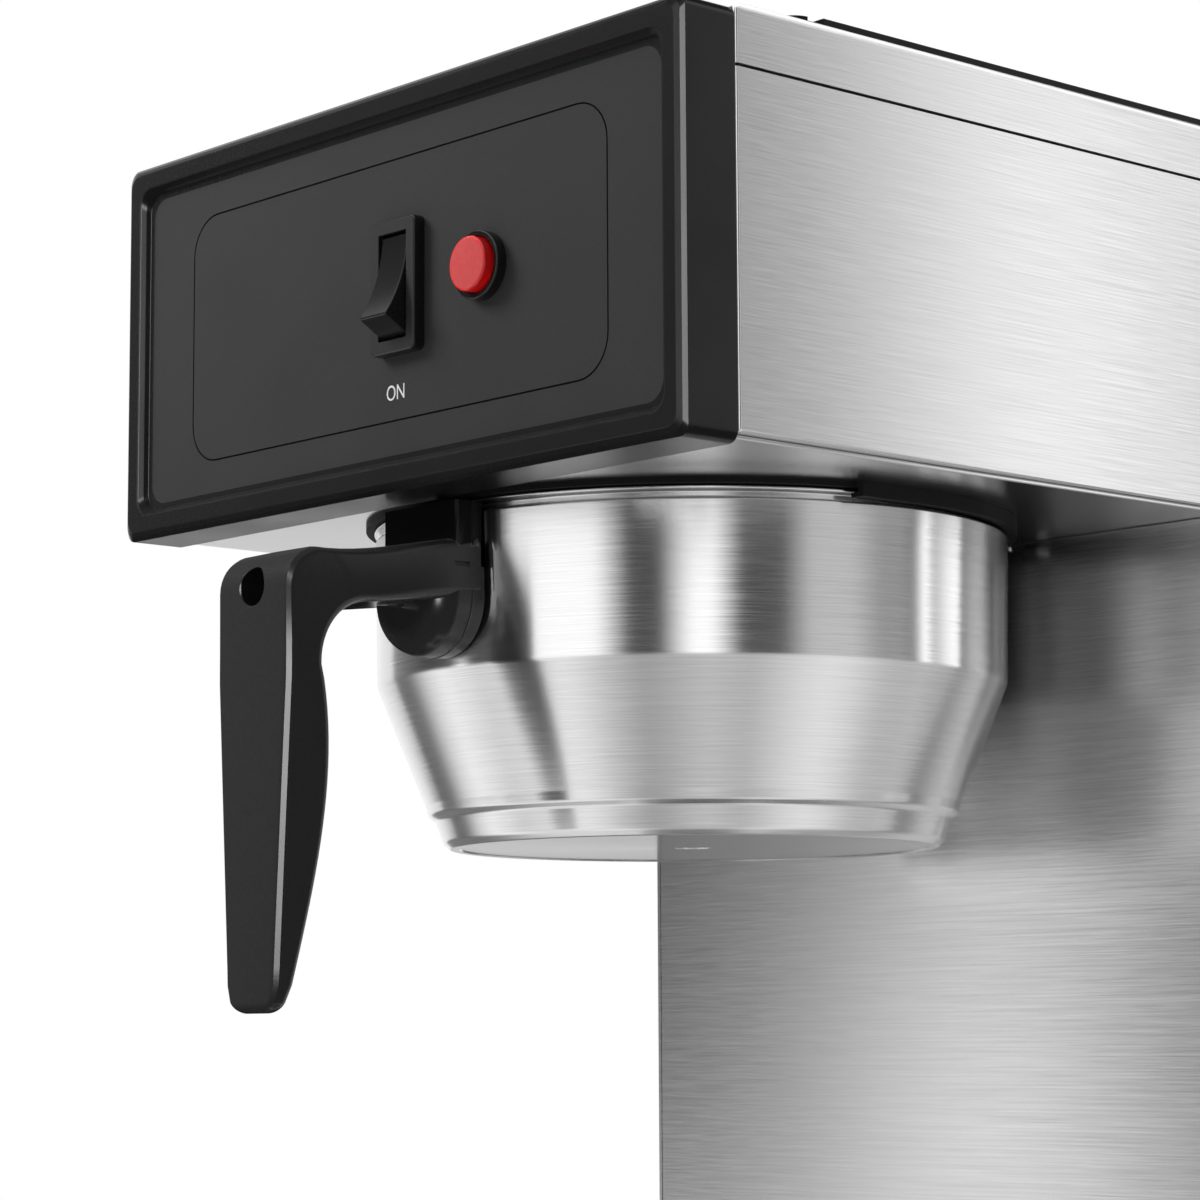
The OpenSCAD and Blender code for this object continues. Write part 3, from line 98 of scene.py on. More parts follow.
# The body's sheets
sheet = 1.2
flange = 12.0
seam = 0.8
screw_hole_r = 2.1
x_side = side_high.x
x_in = x_side - sheet
y_rear = side_high.y
y_cover = node_box("rear_cover")[1].y
y_column = node_box("column_front")[0].y
z_base = side_low.z
z_hem = node_box("underside_plate")[1].z
z_roof = cover_high.z - sheet
z_seam = cover_low.z
z_side_top = z_seam - seam
rear_screw_x = x_in - flange / 2
skirt_screw_z = z_roof - (z_roof + sheet - z_seam - seam) / 2

# Nodes whose place a modelled piece takes
replaced = set()


def arc_points(centre, radius, start, turn, steps):
    """Points along an arc in a plane, from a start angle through a turn."""
    u, v = centre
    angles = [start + turn * k / steps for k in range(steps + 1)]
    return [Vector((u + radius * math.cos(a), v + radius * math.sin(a))) for a in angles]


def rounded(corners):
    """Closed outline through corners (u, v) or (u, v, radius), with the given radii."""
    outline = []
    count = len(corners)
    for i, corner in enumerate(corners):
        here = Vector(corner[:2])
        if len(corner) < 3:
            outline.append(here)
            continue
        back = Vector(corners[i - 1][:2]) - here
        ahead = Vector(corners[(i + 1) % count][:2]) - here
        half = back.angle(ahead) / 2
        reach = min(corner[2] / math.tan(half), CORNER_SHARE * back.length, CORNER_SHARE * ahead.length)
        radius = reach * math.tan(half)
        first = here + back.normalized() * reach
        last = here + ahead.normalized() * reach
        inward = (back.normalized() + ahead.normalized()).normalized()
        centre = here + inward * radius / math.sin(half)
        start = math.atan2(first.y - centre.y, first.x - centre.x)
        turn = math.atan2(last.y - centre.y, last.x - centre.x) - start
        turn = (turn + math.pi) % (2 * math.pi) - math.pi
        steps = max(2, round(abs(turn) / ARC_STEP))
        outline += arc_points(centre, radius, start, turn, steps)
    return outline


def bezier(a, b, c, d, steps):
    """Points along a cubic curve."""
    a, b, c, d = (Vector(p) for p in (a, b, c, d))
    curve = []
    for k in range(steps + 1):
        t = k / steps
        s = 1 - t
        curve.append(a * s ** 3 + 3 * b * t * s ** 2 + 3 * c * t * t * s + d * t ** 3)
    return curve


def rect_ring(width, height, radius, steps=8):
    """Closed ring of a flat rectangle with round corners, centred."""
    ring = []
    for quarter, (sx, sz) in enumerate([(1, 1), (-1, 1), (-1, -1), (1, -1)]):
        centre = (sx * (width / 2 - radius), sz * (height / 2 - radius))
        ring += arc_points(centre, radius, quarter * math.pi / 2, math.pi / 2, steps)
    return ring


def mesh_piece(name, points, faces, closed=True):
    """New mesh object from points in millimetres. A closed one gets its normals outwards."""
    mesh = bpy.data.meshes.new(name)
    mesh.from_pydata([Vector(p) * MM for p in points], [], faces)
    shape = bmesh.new()
    shape.from_mesh(mesh)
    bmesh.ops.remove_doubles(shape, verts=shape.verts, dist=1e-7)
    if closed:
        bmesh.ops.dissolve_degenerate(shape, edges=shape.edges, dist=1e-8)
        bmesh.ops.recalc_face_normals(shape, faces=shape.faces)
    shape.to_mesh(mesh)
    shape.free()
    piece = bpy.data.objects.new(name, mesh)
    bpy.context.scene.collection.objects.link(piece)
    return piece


def loft(name, rings, closed=False):
    """Skin over equal rings. A closed loft joins its last ring to its first; an open one is capped."""
    count = len(rings[0])
    points = [p for ring in rings for p in ring]
    faces = []
    for i in range(len(rings) if closed else len(rings) - 1):
        a = i * count
        b = (i + 1) % len(rings) * count
        for k in range(count):
            n = (k + 1) % count
            faces.append((a + k, a + n, b + n, b + k))
    if not closed:
        faces.append(tuple(range(count)))
        faces.append(tuple(range(len(points) - count, len(points))))
    return mesh_piece(name, points, faces)


def rect_loft(name, centre, sections, closed=False):
    """Loft of upright rectangles (width, height, corner radius, y) round a centre (x, z)."""
    rings = []
    for width, height, radius, y in sections:
        rings.append([(centre[0] + u, y, centre[1] + v) for u, v in rect_ring(width, height, radius)])
    return loft(name, rings, closed)


def lathe(name, profile, place, segments=64, forward=False):
    """Turned shape from a closed profile (radius, height), standing up or facing forward."""
    rings = []
    for k in range(segments):
        angle = 2 * math.pi * k / segments
        c, s = math.cos(angle), math.sin(angle)
        if forward:
            rings.append([(place[0] + r * c, place[1] - h, place[2] + r * s) for r, h in profile])
        else:
            rings.append([(place[0] + r * c, place[1] + r * s, place[2] + h) for r, h in profile])
    return loft(name, rings, closed=True)


def rod(name, place, radius, back, ahead, segments=32):
    """Plain rod along the depth, for drilling holes."""
    profile = [(0, -back), (radius, -back), (radius, ahead), (0, ahead)]
    return lathe(name, profile, place, segments, forward=True)


def block(name, low, high):
    """Box between two corners."""
    rings = [[(x, low[1], low[2]), (x, high[1], low[2]), (x, high[1], high[2]), (x, low[1], high[2])]
             for x in (low[0], high[0])]
    return loft(name, rings)


def extrude_x(name, outline, low, high):
    """Upright outline (y, z) extruded along X."""
    return loft(name, [[(x, y, z) for y, z in outline] for x in (low, high)])


def settle(piece):
    """Turns a modelled piece's modifiers into its mesh."""
    bpy.context.view_layer.update()
    shape = piece.evaluated_get(bpy.context.evaluated_depsgraph_get())
    mesh = bpy.data.meshes.new_from_object(shape)
    piece.modifiers.clear()
    piece.data = mesh


def combine(piece, other, operation):
    """Cuts or adds another shape, which is then gone."""
    modifier = piece.modifiers.new("combine", "BOOLEAN")
    modifier.operation = operation
    modifier.solver = "EXACT"
    modifier.object = other
    settle(piece)
    bpy.data.objects.remove(other)


def soften(piece, width, angle=35, segments=3):
    """Rounds a piece's sharp edges by a width in millimetres."""
    modifier = piece.modifiers.new("soften", "BEVEL")
    modifier.width = width * MM
    modifier.segments = segments
    modifier.limit_method = "ANGLE"
    modifier.angle_limit = math.radians(angle)
    modifier.miter_outer = "MITER_ARC"


def smooth(piece, angle=35):
    """Smooth shading that keeps sharp edges and flat faces."""
    piece.data.shade_smooth()
    piece.data.set_sharp_from_angle(angle=math.radians(angle))
    modifier = piece.modifiers.new("flat_faces", "WEIGHTED_NORMAL")
    modifier.keep_sharp = True


def stand_for(piece, node, body, material, angle=35):
    """Finishes a modelled piece and puts it in a node's place."""
    smooth(piece, angle)
    piece.data.materials.clear()
    piece.data.materials.append(material)
    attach(piece, body)
    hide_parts(node)
    replaced.add(node)


def second_finish(piece, material, belongs):
    """Gives a second material to the faces that a test picks by face and by middle point."""
    piece.data.materials.append(material)
    for face in piece.data.polygons:
        if belongs(face, face.center / MM):
            face.material_index = 1


# Materials

class Shader:
    """A material's nodes, made one after another."""

    def __init__(self, name):
        self.material = bpy.data.materials.new(name)
        self.material.use_nodes = True
        self.tree = self.material.node_tree
        self.surface = self.tree.nodes["Principled BSDF"]

    def add(self, kind, settings=(), **inputs):
        """New node. An input is given by its name, or by its number as i0, i1 and so on."""
        node = self.tree.nodes.new("ShaderNode" + kind)
        for key, value in dict(settings).items():
            setattr(node, key, value)
        for key, value in inputs.items():
            slot = int(key[1:]) if key[0] == "i" and key[1:].isdigit() else key
            self.put(node.inputs[slot], value)
        return node

    def put(self, socket, value):
        """Links another node's output to a socket, or sets a constant there."""
        if hasattr(value, "is_linked"):
            self.tree.links.new(value, socket)
        else:
            socket.default_value = value

    def set(self, **values):
        """Sets the surface's sockets, named with _ for a space."""
        for key, value in values.items():
            self.put(self.surface.inputs[key.replace("_", " ")], value)

    def math(self, operation, a, b=0.0):
        return self.add("Math", {"operation": operation}, i0=a, i1=b).outputs[0]

    def vector(self, operation, a, b=(0, 0, 0)):
        return self.add("VectorMath", {"operation": operation}, i0=a, i1=b).outputs[0]

    def scale(self, vector, factor):
        node = self.add("VectorMath", {"operation": "SCALE"}, i0=vector)
        self.put(node.inputs["Scale"], factor)
        return node.outputs[0]

    def parts(self, vector):
        return self.add("SeparateXYZ", Vector=vector).outputs

    def noise(self, place, scale=1.0, detail=2.0):
        return self.add("TexNoise", Vector=place, Scale=scale, Detail=detail).outputs[0]

    def spread(self, value, low, high):
        """A value around a half, stretched to run from low to high."""
        node = self.add("MapRange", Value=value, i1=0.3, i2=0.7, i3=low, i4=high)
        return node.outputs[0]

    def tint(self, factor, low, high):
        mix = self.add("Mix", {"data_type": "RGBA"}, i0=factor, i6=(*low, 1), i7=(*high, 1))
        return mix.outputs[2]

    def bump(self, height, strength, distance):
        return self.add("Bump", Strength=strength, Distance=distance, Height=height).outputs[0]


def grey(level):
    """Neutral colour of a linear level."""
    return (level, level, level)


def brushed_steel(name, level, roughness, lean, stretch, contrast, turned=False, edge=1.0):
    """Steel with a fine grain: level on sheets, round the axis on turned pieces.

    lean is how far the grain tilts the surface, and edge the mirror's level at a glancing view.
    """
    long_grain = (26.0, 2100.0)
    short_grain = (70.0, 5200.0)
    lies_flat = 0.7
    shader = Shader(name)
    place = shader.add("TexCoord").outputs["Object"]
    normal = shader.add("NewGeometry").outputs["Normal"]
    across = shader.parts(place)
    if turned:
        from_axis = shader.vector("SUBTRACT", place, (0, y_axis * MM, 0))
        level_place = shader.vector("MULTIPLY", from_axis, (1, 1, 0))
        radius = shader.add("VectorMath", {"operation": "LENGTH"}, i0=level_place).outputs[1]
        run = shader.parts(shader.scale(shader.vector("NORMALIZE", level_place), wall_r * MM))
        rise = shader.math("ADD", across[2], radius)
        place = shader.add("CombineXYZ", i0=run[0], i1=run[1], i2=rise).outputs[0]
    streaks = []
    for along, finer in (long_grain, short_grain):
        grain = shader.vector("MULTIPLY", place, (along, along, finer))
        if not turned:
            lying = shader.vector("MULTIPLY", place, (finer, along, along))
            upward = shader.math("ABSOLUTE", shader.parts(normal)[2])
            flat = shader.math("GREATER_THAN", upward, lies_flat)
            choice = shader.add("Mix", {"data_type": "VECTOR"}, i0=flat, i4=grain, i5=lying)
            grain = choice.outputs[1]
        streaks.append(shader.noise(grain, 1.0, 3.0))
    both = shader.math("MULTIPLY", shader.math("ADD", *streaks), 0.5)
    side = shader.vector("CROSS_PRODUCT", normal, (0, 0, 1))
    swing = shader.scale(side, shader.spread(both, -lean, lean))
    dark = grey(level * (1 - contrast))
    light = grey(level * (1 + contrast))
    shader.set(
        Base_Color=shader.tint(shader.spread(both, 0, 1), dark, light),
        Metallic=1.0,
        Specular_Tint=(*grey(edge), 1),
        Roughness=shader.spread(streaks[1], roughness * 0.9, roughness * 1.1),
        Anisotropic=stretch,
        Anisotropic_Rotation=0.25,
        Normal=shader.vector("NORMALIZE", shader.vector("ADD", normal, swing)),
    )
    return shader.material


def plain_metal(name, dark, light, roughness):
    """Metal with small cloudy stains and light scratches."""
    shader = Shader(name)
    place = shader.add("TexCoord").outputs["Object"]
    cloud = shader.noise(place, 90.0, 4.0)
    scratch = shader.noise(shader.vector("MULTIPLY", place, (300, 300, 2600)), 1.0, 2.0)
    shader.set(
        Base_Color=shader.tint(shader.spread(cloud, 0, 1), dark, light),
        Metallic=1.0,
        Roughness=shader.spread(cloud, roughness * 0.75, roughness * 1.25),
        Normal=shader.bump(scratch, 0.06, 0.0001),
    )
    return shader.material


def moulded(name, dark, light, roughness, grain=1400.0, relief=0.08, specular=0.5):
    """Moulded plastic or rubber with a fine eroded grain and faint cloudy gloss."""
    shader = Shader(name)
    place = shader.add("TexCoord").outputs["Object"]
    cloud = shader.noise(place, 35.0, 3.0)
    fine = shader.noise(place, grain, 3.0)
    shader.set(
        Base_Color=shader.tint(shader.spread(fine, 0, 1), dark, light),
        Roughness=shader.spread(cloud, roughness * 0.9, roughness * 1.1),
        Normal=shader.bump(fine, relief, 0.0001),
    )
    shader.surface.inputs["Specular IOR Level"].default_value = specular
    return shader.material


def clear_plastic(name, dark, light, roughness, see_through):
    """Plastic that lets some light through."""
    material = moulded(name, dark, light, roughness, 600.0, 0.02)
    surface = material.node_tree.nodes["Principled BSDF"]
    surface.inputs["Transmission Weight"].default_value = see_through
    surface.inputs["IOR"].default_value = 1.45
    return material


MATERIALS = {
    "brushed_sheet": brushed_steel("brushed_sheet", 0.61, 0.24, 0.004, 0.75, 0.16),
    "funnel_steel": brushed_steel("funnel_steel", 0.63, 0.23, 0.010, 0.9, 0.10, turned=True),
    "smooth_sheet": brushed_steel("smooth_sheet", 0.56, 0.18, 0.0, 0.3, 0.05),
    # Funnel floor: smoother steel, a real finish, with a lower level and weaker glancing mirror that are painted
    # shade
    "disc_steel_painted_shade": brushed_steel("disc_steel_painted_shade", 0.45, 0.15, 0.0, 0.3, 0.05, edge=0.5),
    "plain_steel": plain_metal("plain_steel", grey(0.52), grey(0.62), 0.34),
    "screw_steel": plain_metal("screw_steel", grey(0.50), grey(0.64), 0.26),
    "bezel_plastic": moulded("bezel_plastic", grey(0.015), grey(0.018), 0.24, 1400.0, 0.03, 0.26),
    "panel_plastic": moulded("panel_plastic", grey(0.030), grey(0.036), 0.50, 1800.0, 0.10, 0.2),
    # Near black: the panel's dark line, and painted shade in the side seams, the handle's hole and its lug
    "dark_line_and_painted_shade": moulded("dark_line_and_painted_shade", grey(0.004), grey(0.007), 0.60, 1800.0, 0.12, 0.1),
    "handle_plastic": moulded("handle_plastic", grey(0.034), grey(0.039), 0.24, 1600.0, 0.03, 0.5),
    # Lighter plastic for the switch frame's front faces: painted light on the side turned to the lamp
    "frame_front_painted_light": moulded("frame_front_painted_light", grey(0.029), grey(0.035), 0.42, 2200.0, 0.05, 0.2),
    "switch_plastic": moulded("switch_plastic", grey(0.009), grey(0.012), 0.24, 2200.0, 0.03, 0.3),
    "lid_plastic": moulded("lid_plastic", grey(0.004), grey(0.007), 0.50, 1200.0, 0.10, 0.12),
    "guide_plastic": moulded("guide_plastic", grey(0.004), grey(0.007), 0.60, 1400.0, 0.08, 0.1),
    "red_lens": clear_plastic("red_lens", (0.82, 0.005, 0.006), (0.88, 0.008, 0.009), 0.14, 0.10),
    # Pale pink for the lens's flat face: painted sheen of the white it mirrors
    "lens_face_painted_sheen": clear_plastic("lens_face_painted_sheen", (0.54, 0.070, 0.070), (0.57, 0.085, 0.085), 0.24, 0.0),
    "legend_ink": moulded("legend_ink", grey(0.62), grey(0.68), 0.5, 2500.0, 0.03),
    "rubber": moulded("rubber", grey(0.012), grey(0.020), 0.72, 1000.0, 0.25),
    "white_plastic": moulded("white_plastic", grey(0.74), grey(0.80), 0.42, 900.0, 0.05),
    "silicone": clear_plastic("silicone", (0.78, 0.78, 0.74), (0.84, 0.84, 0.80), 0.38, 0.35),
    "brass": plain_metal("brass", (0.50, 0.34, 0.12), (0.62, 0.44, 0.18), 0.32),
    "board": moulded("board", (0.018, 0.075, 0.032), (0.026, 0.105, 0.046), 0.38, 500.0, 0.10),
    "board_parts": moulded("board_parts", grey(0.02), grey(0.04), 0.40, 900.0, 0.08),
}


# Body sheets: thin shells with rounded folds

def folded_sheet(name, panels, fold_of):
    """Sheet from flat panels that share edges. fold_of gives a shared edge's radius from its ends."""
    points = [point for panel in panels for point in panel]
    faces = []
    for panel in panels:
        first = sum(len(face) for face in faces)
        faces.append(tuple(range(first, first + len(panel))))
    piece = mesh_piece(name, points, faces, closed=False)
    shape = bmesh.new()
    shape.from_mesh(piece.data)
    weights = shape.edges.layers.float.new("bevel_weight_edge")
    widest, cut_edge = 2.5, 0.35
    for edge in shape.edges:
        if len(edge.link_faces) == 2:
            ends = [vertex.co / MM for vertex in edge.verts]
            edge[weights] = fold_of(*ends) / widest
    shape.to_mesh(piece.data)
    shape.free()
    fold = piece.modifiers.new("fold", "BEVEL")
    fold.limit_method = "WEIGHT"
    fold.width = widest * MM
    fold.segments = 6
    thicken = piece.modifiers.new("thicken", "SOLIDIFY")
    thicken.thickness = sheet * MM
    thicken.offset = -1
    thicken.use_even_offset = True
    settle(piece)
    soften(piece, cut_edge, angle=60, segments=2)
    settle(piece)
    return piece


def drill_screws(piece, places):
    """Holes along the depth at places (x, y, z)."""
    reach = 3
    for place in places:
        combine(piece, rod("screw_hole", place, screw_hole_r, reach, reach, 24), "DIFFERENCE")


def mirrored(piece, name):
    """Copy of a piece on the other side of the middle."""
    shape = bmesh.new()
    shape.from_mesh(piece.data)
    for vertex in shape.verts:
        vertex.co.x *= -1
    bmesh.ops.reverse_faces(shape, faces=shape.faces)
    mesh = bpy.data.meshes.new(name)
    shape.to_mesh(mesh)
    shape.free()
    copy = bpy.data.objects.new(name, mesh)
    bpy.context.scene.collection.objects.link(copy)
    return copy


def make_sides():
    """Left and right side: head and column in one sheet, with folded flanges."""
    corner = 1.1
    overlap, strip_gap = 0.01, 0.1
    low = x_in - flange
    outer = [(x_side, y_bezel, z_hem), (x_side, y_column, z_hem), (x_side, y_column, z_base),
             (x_side, y_rear, z_base), (x_side, y_rear, z_side_top), (x_side, y_bezel, z_side_top)]
    front = [(low, y_bezel, z_hem), (x_side, y_bezel, z_hem), (x_side, y_bezel, z_side_top),
             (low, y_bezel, z_side_top)]
    hem = [(low, y_bezel, z_hem), (low, y_column, z_hem), (x_side, y_column, z_hem),
           (x_side, y_bezel, z_hem)]
    side = folded_sheet("right_sheet", [outer, front, hem], lambda a, b: corner)
    seam_strip = block("seam_strip", (x_in - sheet, y_bezel + sheet + strip_gap, z_hem + flange),
                       (x_in + overlap, y_cover - 2 * flange, z_roof))
    combine(side, seam_strip, "UNION")
    rear = block("rear_flange", (low, y_cover - 2 * sheet, z_base),
                 (x_in + overlap, y_cover - sheet, z_roof))
    combine(side, rear, "UNION")
    bottom = block("base_flange", (low, y_column + sheet + flange, z_base),
                   (x_in + overlap, y_cover - sheet, z_base + sheet))
    combine(side, bottom, "UNION")
    bezel_screw_x, bezel_screw_z = 108.3, 31
    drill_screws(side, [(bezel_screw_x, y_bezel, z_mid + s * bezel_screw_z) for s in (-1, 1)])
    end_in, gaps = 24, 3
    pitch = z_side_top - z_base - 2 * end_in
    levels = [z_base + end_in + k * pitch / gaps for k in range(gaps + 1)]
    levels.append(skirt_screw_z)
    drill_screws(side, [(rear_screw_x, y_cover - sheet, z) for z in levels])

    # Faces of the tongue inside the seam between side and cover get the black finish: painted shade in the gap
    def painted_seam_shade(face, middle):
        return middle.z > z_side_top - sheet / 2 and abs(middle.x) < x_in + NEAR

    left = mirrored(side, "left_sheet")
    for piece, node in ((side, "right_side"), (left, "left_side")):
        stand_for(piece, node, "brewer_body", MATERIALS["brushed_sheet"])
        second_finish(piece, MATERIALS["dark_line_and_painted_shade"], painted_seam_shade)


def make_cover():
    """Top cover: roof with skirts on both sides and in front, and the pour-in opening."""
    roof_fold, corner = 2.4, 1.1
    overlap = 0.01
    top = z_roof + sheet
    roof = [(-x_side, y_bezel, top), (x_side, y_bezel, top), (x_side, y_rear, top),
            (-x_side, y_rear, top)]
    front = [(-x_side, y_bezel, z_seam), (x_side, y_bezel, z_seam), (x_side, y_bezel, top),
             (-x_side, y_bezel, top)]
    right = [(x_side, y_bezel, z_seam), (x_side, y_rear, z_seam), (x_side, y_rear, top),
             (x_side, y_bezel, top)]
    left = [(-x_side, y_rear, z_seam), (-x_side, y_bezel, z_seam), (-x_side, y_bezel, top),
            (-x_side, y_rear, top)]
    cover = folded_sheet("cover_sheet", [roof, front, right, left],
                         lambda a, b: roof_fold if abs(a.z - b.z) < 1 else corner)
    rear = block("rear_skirt", (-x_in - overlap, y_cover - sheet, z_seam),
                 (x_in + overlap, y_cover, z_roof + overlap))
    combine(cover, rear, "UNION")
    pour_w, pour_r, lid_lap, hinge_lap, past = 168, 14, 18, 26, 5
    pour_front = lid_low.y + lid_lap
    pour_rear = JOINT["lid_hinge"]["pos_m"][1] / MM - hinge_lap
    outline = rect_ring(pour_w, pour_rear - pour_front, pour_r)
    middle = (pour_front + pour_rear) / 2
    rings = [[(u, middle + v, z) for u, v in outline] for z in (z_roof - past, top + past)]
    combine(cover, loft("pour_opening", rings), "DIFFERENCE")
    drill_screws(cover, [(s * rear_screw_x, y_cover, skirt_screw_z) for s in (-1, 1)])
    stand_for(cover, "top_cover", "brewer_body", MATERIALS["brushed_sheet"])


# Bezel: a flat rim round the sunken panel

def make_bezel():
    """Bezel with a flat rim, chamfered outside and sloping down to the panel inside."""
    wall, corner_r = 2.5, 3.2
    seat, lip_t = 9.8, 0.01
    depth = y_panel - y_face
    lip = depth - lip_t
    profile = rounded([
        (wall, bezel_d), (0, bezel_d, 0.4), (0, 1.8, 0.3), (1.0, 0.8, 0.4), (2.3, 0, 1.0),
        (6.6, 0, 0.9), (7.6, 1.6, 0.5), (8.2, lip, 0.4), (seat, lip), (seat, depth), (wall, depth)])
    sections = []
    for inset, back in profile:
        corner = corner_r + inset / 4
        sections.append((bezel_w - 2 * inset, bezel_h - 2 * inset, corner, y_face + back))
    bezel = rect_loft("bezel_shell", (0, z_mid), sections, closed=True)
    stand_for(bezel, "front_bezel", "brewer_body", MATERIALS["bezel_plastic"])
    return bezel


def make_panel():
    """Sunken panel with a dark pressed line frame, cut out for the switch and the lamp."""
    frame_w, frame_h, frame_r = 172, 69, 11
    line, line_depth = 0.5, 0.35
    panel_w = panel_high.x - panel_low.x
    panel_h = panel_high.z - panel_low.z
    corner = 6.3
    sections = [(panel_w, panel_h, corner, panel_high.y), (panel_w, panel_h, corner, y_panel)]
    for step, depth in ((0, 0), (line * 0.3, line_depth), (line * 0.7, line_depth), (line, 0)):
        sections.append((frame_w - 2 * step, frame_h - 2 * step, frame_r - step, y_panel + depth))
    panel = rect_loft("panel_plate", (0, z_mid), sections)
    play = 2.8
    behind = 10
    lamp_hole_r = 6.1
    hole = rect_loft("switch_hole", (switch_x, z_mid), [
        (switch_w - play, switch_h - play, 0.5, y_panel + y) for y in (-behind, behind)])
    combine(panel, hole, "DIFFERENCE")
    hole = rod("lamp_hole", (lamp_x, y_panel, z_mid), lamp_hole_r, behind, behind, 64)
    combine(panel, hole, "DIFFERENCE")
    stand_for(panel, "control_panel", "brewer_body", MATERIALS["panel_plastic"], angle=20)

    def in_line(face, middle):
        aside = abs(middle.x) > frame_w / 2 - frame_r
        above = abs(middle.z - z_mid) > frame_h / 2 - frame_r
        sunk = y_panel + NEAR < middle.y < y_panel + line_depth + NEAR
        return sunk and (aside or above)

    second_finish(panel, MATERIALS["dark_line_and_painted_shade"], in_line)


def make_legend():
    """Plain white word under the switch."""
    height, below, aside = 3.9, 27.1, 2.6
    proud, narrow, capital_share = 0.04, 0.86, 0.69
    curve = bpy.data.curves.new("legend", "FONT")
    curve.body = "ON"
    curve.align_x = "CENTER"
    curve.align_y = "CENTER"
    curve.size = height / capital_share * MM
    curve.extrude = proud * MM
    text = bpy.data.objects.new("legend_text", curve)
    bpy.context.scene.collection.objects.link(text)
    place = Matrix.Translation(Vector((switch_x - aside, y_panel, z_mid - below)) * MM)
    upright = Matrix.Rotation(math.pi / 2, 4, "X")
    text.matrix_world = place @ upright @ Matrix.Diagonal((narrow, 1, 1, 1))
    bpy.context.view_layer.update()
    mesh = bpy.data.meshes.new_from_object(text)
    mesh.transform(text.matrix_world)
    bpy.data.objects.remove(text)
    legend = bpy.data.objects.new("switch_legend", mesh)
    bpy.context.scene.collection.objects.link(legend)
    mesh.materials.clear()
    mesh.materials.append(MATERIALS["legend_ink"])
    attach(legend, "brewer_body")


# Start switch

def make_switch():
    """Switch housing: a proud frame with an opening for the rocker, and its body behind the panel."""
    opening_w, opening_h = 11.2, 27.8
    proud = y_panel - switch_low.y
    well = 13.5
    body_in = 1.5
    rim = (switch_w - opening_w) / 2
    profile = rounded([(0, 0), (0, proud, 0.7), (rim, proud, 0.3), (rim, proud - well)])
    body_w, body_h = switch_w - 2 * body_in, switch_h - 2 * body_in
    sections = [(body_w, body_h, 0.6, y) for y in (switch_high.y, y_panel)]
    shoulder = (switch_h - opening_h) / (switch_w - opening_w)
    for inset, out in profile:
        tall = switch_h - 2 * inset * shoulder
        corner = max(0.3, 1.8 - inset * 0.6)
        sections.append((switch_w - 2 * inset, tall, corner, y_panel - out))
    housing = rect_loft("switch_frame", (switch_x, z_mid), sections)
    stand_for(housing, "switch_housing", "brewer_body", MATERIALS["switch_plastic"])

    # The frame's front faces get the lighter finish and its sides keep the darker plastic: painted light and shade
    # of one part
    def painted_lit_front(face, middle):
        return face.normal.y < -FACING and middle.y < y_panel

    second_finish(housing, MATERIALS["frame_front_painted_light"], painted_lit_front)


def make_rocker():
    """Rocker with a hollow face, its lower end out."""
    pivot = Vector(JOINT["start_press"]["pos_m"]) / MM
    end, back, tip_out, tip_low, hollow = 13.6, 5.0, 11.0, 8.9, 1.7
    top_out, low_out = 3.6, 4.0
    face_steps, end_steps = 14, 6
    top = Vector((-top_out, math.sqrt(end ** 2 - top_out ** 2)))
    tip = Vector((-tip_out, -tip_low))
    low = Vector((-low_out, -math.sqrt(end ** 2 - low_out ** 2)))
    inward = Vector((top.y - tip.y, tip.x - top.x)).normalized()
    spots = [k / face_steps for k in range(1, face_steps)]
    face = [top.lerp(tip, t) + inward * hollow * 4 * t * (1 - t) for t in spots]
    outline = [(*top, 0.5)] + [tuple(p) for p in face] + [(*tip, 0.5), tuple(low)]
    rear = math.acos(back / end)
    lower = math.atan2(low.y, low.x)
    upper = math.atan2(top.y, top.x)
    outline += [tuple(p) for p in arc_points((0, 0), end, lower, -rear - lower, end_steps)[1:]]
    outline += [tuple(p) for p in arc_points((0, 0), end, rear, upper - rear, end_steps)[:-1]]
    shape = [(pivot.y + u, pivot.z + v) for u, v in rounded(outline)]
    rocker = extrude_x("rocker_cap", shape, rocker_low.x, rocker_high.x)
    soften(rocker, 0.35, angle=60)
    stand_for(rocker, "start_rocker", "start_button", MATERIALS["switch_plastic"])


# Pilot lamp

def make_lamp():
    """Black collar with a red lens: a flat face, its paler pink painted sheen, and clear sides."""
    body_r, floor, bevel, crown = 6.0, 0.5, 0.5, 0.2
    side_play, floor_play = 0.15, 0.1
    proud = y_panel - ring_low.y
    back = ring_high.y - y_panel
    seat = lens_r + side_play
    place = (lamp_x, y_panel, z_mid)
    profile = rounded([
        (0, -back), (body_r, -back, 0.5), (body_r, 0), (lamp_r, 0), (lamp_r, proud, 1.2),
        (seat + bevel, proud, 0.3), (seat, proud - bevel, 0.2), (seat, floor), (0, floor)])
    ring = lathe("lamp_collar", profile, place, forward=True)
    stand_for(ring, "lamp_ring", "brewer_body", MATERIALS["switch_plastic"])
    out = y_panel - lens_low.y
    low = floor + floor_play
    profile = rounded([(0, low), (lens_r, low), (lens_r, out - crown, 0.7), (0, out)])
    lens = lathe("lamp_dome", profile, place, 96, forward=True)
    stand_for(lens, "lamp_lens", "brewer_body", MATERIALS["red_lens"])
    # The flat face gets the pale pink finish: painted sheen
    flat_face = 0.97
    second_finish(lens, MATERIALS["lens_face_painted_sheen"], lambda face, middle: face.normal.y < -flat_face)


# Brew funnel

